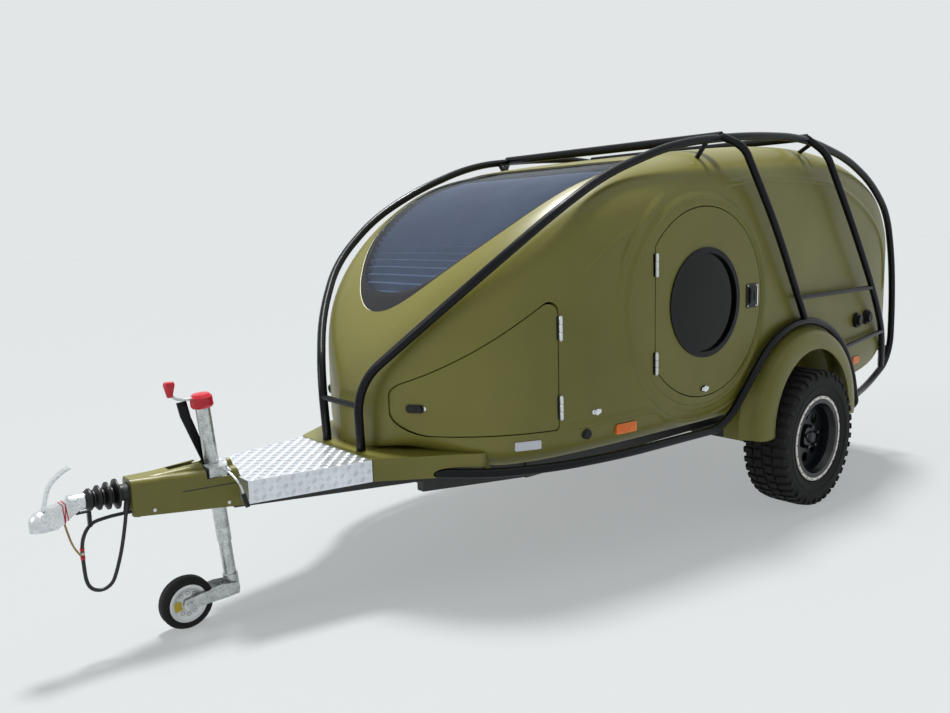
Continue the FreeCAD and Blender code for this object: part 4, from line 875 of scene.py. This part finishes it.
# Each part has its place along X and up, then a plate's width, height, corner, thickness and chamfer,
# or a stud's profile, with its steps where they are more than 24
screw = [(-0.0005, 0.0036), (0.0008, 0.0036), (0.0016, 0.003), (0.0017, 0.0014), (0.0011, 0.0012),
         (0.0011, 0.0)]
socket = (40, [(-0.001, 0.0255), (0.002, 0.0255), (0.0034, 0.024), (0.0034, 0.02), (0.0016, 0.0185),
               (0.0016, 0.0)])
socketLid = (0.014, 0.009, 0.003, 0.003, 0.001)
markers = ((1.276, 0.602, 0.108, 0.034), (-0.7, 0.66, 0.076, 0.032))  # place, width, height
fittings = {
    "doorBrightwork": ("chrome", "door", [
        (0.369, 1.11, (0.008, 0.104, 0.0035, 0.0045, 0.0012)),
        *[(0.418 + a, 1.11 + b, screw) for a in (-0.034, 0.034) for b in (-0.049, 0.049)],
        (0.775, 0.706, (0.05, 0.018, 0.0085, 0.0012, 0.0006)),
        (0.775, 0.706, [(-0.002, 0.0145), (0.0034, 0.0145), (0.0046, 0.013), (0.0046, 0.009),
                        (0.003, 0.008), (0.003, 0.0)])]),
    "doorLatchTrim": ("plastic_black", "door", [
        # thin black plate: painted shade of the latch's pocket; the next bar is the black grip and the small
        # slab is the lock's key slot
        (0.418, 1.11, (0.036, 0.06, 0.005, 0.0016, 0.0008)),
        (0.41, 1.11, (0.01, 0.05, 0.004, 0.0046, 0.0018)),
        (0.775, 0.706, (0.011, 0.0026, 0.0011, 0.0008, 0.0003))]),
    "hatchKeyhole": ("chrome", "hatch", [
        (2.073, 0.755, [(-0.001, 0.0085), (0.0014, 0.0085), (0.0026, 0.0074), (0.0026, 0.0042),
                        (0.0016, 0.0038), (0.0016, 0.0)])]),
    "hatchHandleTrim": ("plastic_black", "hatch", [
        (2.106, 0.755, (0.042, 0.022, 0.009, 0.003, 0.0014)),
        (2.073, 0.755, (0.0022, 0.006, 0.0009, 0.0006, 0.0002))]),
    "hatchLockBarrel": ("chrome", "trailer", [
        (1.446, 0.697, [(-0.001, 0.0105), (0.002, 0.0105), (0.003, 0.009), (0.003, 0.0)])]),
    "markerRibs": ("amber", "trailer", [
        (x + k * width / 14.0, z, (0.0042, height, 0.0014, 0.0012, 0.0009))
        for x, z, width, height in markers for k in range(-6, 7)]),
    "reflectorCells": ("lens_white", "trailer", [
        (1.752, 0.592, (0.098, 0.025, 0.003, 0.0012, 0.0006)),
        *[(1.752 + k * 0.0132, 0.592, (0.0105, 0.019, 0.0018, 0.001, 0.0008)) for k in range(-3, 4)]])}
sideCaps = [
    (1.446, 0.697, (0.0024, 0.01, 0.001, 0.0012, 0.0004)),
    (-0.678, 0.892, socket), (-0.678, 0.892, socketLid),
    (-0.812, 0.897, socket), (-0.812, 0.897, socketLid),
    (1.49, 0.606, (32, [(-0.001, 0.016), (0.0024, 0.016), (0.0036, 0.0145), (0.0036, 0.011),
                        (0.0022, 0.01), (0.0022, 0.0)]))]

for name, (slot, body, parts) in fittings.items():
    bothPieces(fittingForm(parts), name, slot, body)
fittingForm(sideCaps).piece("sideCapsLeft", "plastic_black")
print("fittings trimmed")


# Jockey wheel: bright disc with dark holes, nut and a blank label
jockey = {
    "centre": (2.954, 0.0, 0.1), "disc": 0.0215, "holes": 10, "holeCircle": 0.0415,
    "discProfile": [(-0.003, 0.0165), (0.0015, 0.017), (0.0015, 0.026), (0.0, 0.029), (0.0, 0.053),
                    (0.0035, 0.0575), (0.005, 0.0605), (0.0046, 0.0715), (0.002, 0.0728), (-0.004, 0.0728)],
    "hole": [(-0.001, 0.0076), (0.0005, 0.0076), (0.0006, 0.0066), (-0.0002, 0.0062), (-0.0003, 0.0)],
    "label": (0.034, 0.036, 0.004), "labelFrom": (0.04, 0.0221, -0.004), "labelThickness": 0.0008,
    "labelAcross": (-0.97, 0, 0.24), "labelUp": (0.24, 0, 0.97), "labelChamfer": 0.0003,
    "nut": [(-0.004, 0.0125), (0.0, 0.0125), (0.001, 0.0105), (0.0085, 0.0105), (0.01, 0.009),
            (0.0102, 0.0)], "nutSunk": 0.0085}


def addJockeyTrim():
    centre, depth = at(*jockey["centre"]), jockey["disc"]
    discs, holes, label, nuts = Shape(), Shape(), Shape(), Shape()
    for axis in (leftward, rightward):
        discs.lathe([(depth + along, radius) for along, radius in jockey["discProfile"]], centre, axis, 72)
        for angle in around(jockey["holes"], 0.5):
            spot = centre + Vector((cos(angle), 0, sin(angle))) * jockey["holeCircle"]
            holes.lathe([(depth + along, radius) for along, radius in jockey["hole"]], spot, axis, 20)
    label.slab(roundedOutline(*jockey["label"]), centre + Vector(jockey["labelFrom"]),
               Vector(jockey["labelAcross"]), Vector(jockey["labelUp"]), jockey["labelThickness"],
               jockey["labelChamfer"])
    discs.piece("jockeyDiscs", "galvanised", "jockey_wheel", hingeSilver)
    holes.piece("jockeyHoles", "plastic_black", "jockey_wheel")
    label.piece("jockeyLabel", "amber", "jockey_wheel", labelYellow)
    forkLow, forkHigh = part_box("jockey_fork")
    for axis, face in ((leftward, forkHigh[1]), (rightward, forkLow[1])):
        spot = Vector((centre.x, face - axis.y * jockey["nutSunk"], centre.z))
        nuts.lathe(jockey["nut"], spot, axis, 6)
    nuts.piece("forkNuts", "galvanised", "jockey_fork")


addJockeyTrim()
print("jockey wheel trimmed")


# Mattress: a slack block blown up with cloth pressure, then piped along its seams
pad = {"voxel": 0.022, "shrink": (0.985, 0.985, 0.9), "quality": 4, "pressure": 4.0, "frames": 20,
       "cap": 0.012, "inside": 0.001}
piping = {"radius": 0.0042, "inset": 0.022, "sunk": 0.0015, "steps": 220, "reach": 3.0}


def evaluatedMesh(thing):
    bpy.context.view_layer.update()
    return bpy.data.meshes.new_from_object(thing.evaluated_get(bpy.context.evaluated_depsgraph_get()))


def blown(block):  # where the block's points go under the pressure
    cloth = block.modifiers.new("cloth", "CLOTH")
    cloth.settings.quality = pad["quality"]
    cloth.settings.use_pressure = True
    cloth.settings.uniform_pressure_force = pad["pressure"]
    cloth.settings.effector_weights.gravity = 0.0
    cloth.point_cache.frame_end = pad["frames"]
    for frameNumber in range(1, pad["frames"] + 1):
        scene.frame_set(frameNumber)
    points = [vertex.co.copy() for vertex in evaluatedMesh(block).vertices]
    block.modifiers.clear()
    scene.frame_set(1)
    return points


def mattressPad(low, high):
    source = nodes["mattress"]
    centre = (low + high) / 2.0
    block = placed("padBlock", source.data.copy())
    for vertex in block.data.vertices:
        offset = source.matrix_world @ vertex.co - centre
        vertex.co = centre + Vector([offset[i] * pad["shrink"][i] for i in range(3)])
    remesh = block.modifiers.new("remesh", "REMESH")
    remesh.mode = "VOXEL"
    remesh.voxel_size = pad["voxel"]
    block.data = evaluatedMesh(block)
    block.modifiers.clear()
    start = [vertex.co.copy() for vertex in block.data.vertices]
    moved = blown(block)
    for vertex, before, after in zip(block.data.vertices, start, moved):
        shift = after - before
        if shift.length > pad["cap"]:
            shift *= pad["cap"] / shift.length
        spot = before + shift
        vertex.co = [min(max(spot[i], low[i] + pad["inside"]), high[i] - pad["inside"]) for i in range(3)]
    block.name = block.data.name = "mattressPad"
    block.data.materials.clear()
    block.data.materials.append(finishes["cloth_grey"])
    block.data.shade_smooth()
    return block


def addPiping(thing, low, high):
    tree = BVHTree.FromObject(thing, bpy.context.evaluated_depsgraph_get())
    middle = (low + high) / 2.0
    shape = Shape()
    for z in (low.z + piping["inset"], high.z - piping["inset"]):
        spots = [(Vector((middle.x, middle.y, z)), Vector((cos(angle), sin(angle), 0)))
                 for angle in around(piping["steps"])]
        ring = wrapped(tree, spots, piping["reach"], -piping["sunk"])
        shape.sweep(ring, [upward] * len(ring), roundRing(piping["radius"]), closed=True)
    shape.piece("mattressPiping", "cloth_grey", sharp=60.0)


padLow, padHigh = (Vector(corner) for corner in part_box("mattress"))
padPiece = mattressPad(padLow, padHigh)
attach(padPiece, "trailer")
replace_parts(padPiece, "mattress")
smoothing = padPiece.modifiers.new("smooth", "SUBSURF")
smoothing.levels = smoothing.render_levels = 1
addPiping(padPiece, padLow, padHigh)
print("mattress filled")


# Bands on the cable: share of its route, length, radius
bands = {"red": ((0.625, 0.012, 0.008), (0.665, 0.009, 0.008)), "white": ((0.645, 0.01, 0.0082),)}


def alongCord(facts, share):  # place and direction on a cord's route
    points = [at(*spot) for spot in facts["line"]]
    lengths = [(q - p).length for p, q in zip(points, points[1:])]
    wanted = share * sum(lengths)
    for p, q, length in zip(points, points[1:], lengths):
        if wanted <= length:
            return p.lerp(q, wanted / length), (q - p).normalized()
        wanted -= length


def bandForm(rows, rim=0.0018, chamfer=0.0004, bevel=0.0006):
    shape = Shape()
    for share, length, r in rows:
        middle, along = alongCord(cable, share)
        half = length / 2
        shape.lathe([(-half, r - rim), (-half, r - chamfer), (-half + bevel, r), (half - bevel, r),
                     (half, r - chamfer), (half, r - rim)], middle, along)
    return shape


bandForm(bands["red"]).piece("cableBandsRed", "plastic_red")
bandForm(bands["white"]).piece("cableBandsWhite", "lens_white", material=tapeWhite)

# Red cord in three turns round the coupling. Turns: place along X, lean
coupling = {"turns": ((3.34, 0.004), (3.346, -0.003), (3.351, 0.002)), "height": 0.545, "reach": 0.12,
            "radius": 0.0016, "proud": 0.0012, "steps": 48}


def addCouplingCord():
    skin = skinOf("coupling_head")
    shape = Shape()
    for x, lean in coupling["turns"]:
        spots = [(at(x + lean * sin(angle), 0, coupling["height"]), Vector((0, cos(angle), sin(angle))))
                 for angle in around(coupling["steps"])]
        ring = wrapped(skin, spots, coupling["reach"], coupling["proud"])
        shape.sweep(ring, [ahead] * len(ring), roundRing(coupling["radius"]), closed=True)
    shape.piece("couplingCord", "plastic_red", sharp=60.0)


# Bolts and side seam of the hitch cover
cover = {"reach": 0.6, "bolts": ((3.06, 0.5), (2.8, 0.478)), "seamRear": 2.765, "seamLength": 0.195,
         "seamHeight": 0.548, "seamSteps": 24, "proud": 0.0003,
         "bolt": [(-0.001, 0.0065), (0.0012, 0.0065), (0.0024, 0.0052), (0.0026, 0.0)],
         "seam": [(-0.0022, -0.0006), (-0.0012, 0.0007), (0.0012, 0.0007), (0.0022, -0.0006)]}


def addCoverTrim():
    skin = skinOf("hitch_cover")
    bolts, seam = Shape(), Shape()
    for x, z in cover["bolts"]:
        hit, normal = sideSpot(x, z, skin, cover["reach"])
        bolts.lathe(cover["bolt"], hit, normal)
    bolts.addMirror()
    bolts.piece("coverBolts", "chrome", material=hingeSilver)
    path, ups = [], []
    for i in range(cover["seamSteps"]):
        x = cover["seamRear"] + cover["seamLength"] * i / (cover["seamSteps"] - 1.0)
        hit, normal = sideSpot(x, cover["seamHeight"], skin, cover["reach"])
        path.append(hit + normal * cover["proud"])
        ups.append(normal)
    seam.sweep(path, ups, cover["seam"])
    seam.addMirror()
    seam.piece("coverSeam", "chassis_black")


addCouplingCord()
addCoverTrim()
print("hitch dressed")


# Studio: pale floor that glows a little, and soft fill. Suns: the way to it, degrees across, strength
studio = {"tone": linear(226, 230, 231), "sky": 0.32, "glow": 0.7, "lift": 0.675, "reach": 60.0,
          "roughness": 0.9, "specular": 0.1,
          "suns": {"key": ((-0.9, -1.2, 5.6), 11.0, 4.6), "front": ((5.0, -1.5, 2.6), 30.0, 0.75)}}
overhead = {"place": (0.6, 0.3, 6.0), "target": (0, 0, 0.8), "size": (6.0, 4.5), "power": 40.0}


def addFloor():
    mesh = bpy.data.meshes.new("floor")
    reach = studio["reach"]
    mesh.from_pydata([(-reach, -reach, 0), (reach, -reach, 0), (reach, reach, 0), (-reach, reach, 0)],
                     [], [(0, 1, 2, 3)])
    placed("floor", mesh)
    material, tree, shader = newMaterial("floorPale")
    setInputs(tree, shader, {"Base Color": studio["tone"], "Roughness": studio["roughness"],
                             "Specular IOR Level": studio["specular"]})
    glow = addNode(tree, "Emission", {"Color": studio["tone"], "Strength": studio["lift"]})
    mixShaders(tree, studio["glow"], shader, glow)
    mesh.materials.append(material)


def addSky():  # dim as light, but full in tone where it is seen or mirrored
    world = bpy.data.worlds.new("studio")
    scene.world = world
    world.use_nodes = True
    tree = world.node_tree
    back = tree.nodes["Background"]
    setInputs(tree, back, {"Color": studio["tone"], "Strength": studio["sky"]})
    seen = addNode(tree, "Background", {"Color": studio["tone"], "Strength": 1.0})
    path = addNode(tree, "LightPath").outputs
    seenBy = maths(tree, "MAXIMUM", path["Is Camera Ray"],
                   maths(tree, "MAXIMUM", path["Is Glossy Ray"], path["Is Transmission Ray"]))
    mixShaders(tree, seenBy, back, seen, "World Output")


def addLight(name, kind, energy, place, way):
    data = bpy.data.lights.new(name, kind)
    data.energy = energy
    turn = way.to_track_quat("-Z", "Y").to_matrix().to_4x4()
    placed(name, data).matrix_world = Matrix.Translation(place) @ turn
    return data


def addLights():
    for name, (way, angle, strength) in studio["suns"].items():
        addLight(name, "SUN", strength, (0, 0, 0), -Vector(way)).angle = radians(angle)
    place, target = Vector(overhead["place"]), Vector(overhead["target"])
    data = addLight("overhead", "AREA", overhead["power"], place, target - place)
    data.shape = "RECTANGLE"
    data.size, data.size_y = overhead["size"]


addFloor()
addSky()
addLights()
scene.view_settings.view_transform = "Standard"
print("studio set")
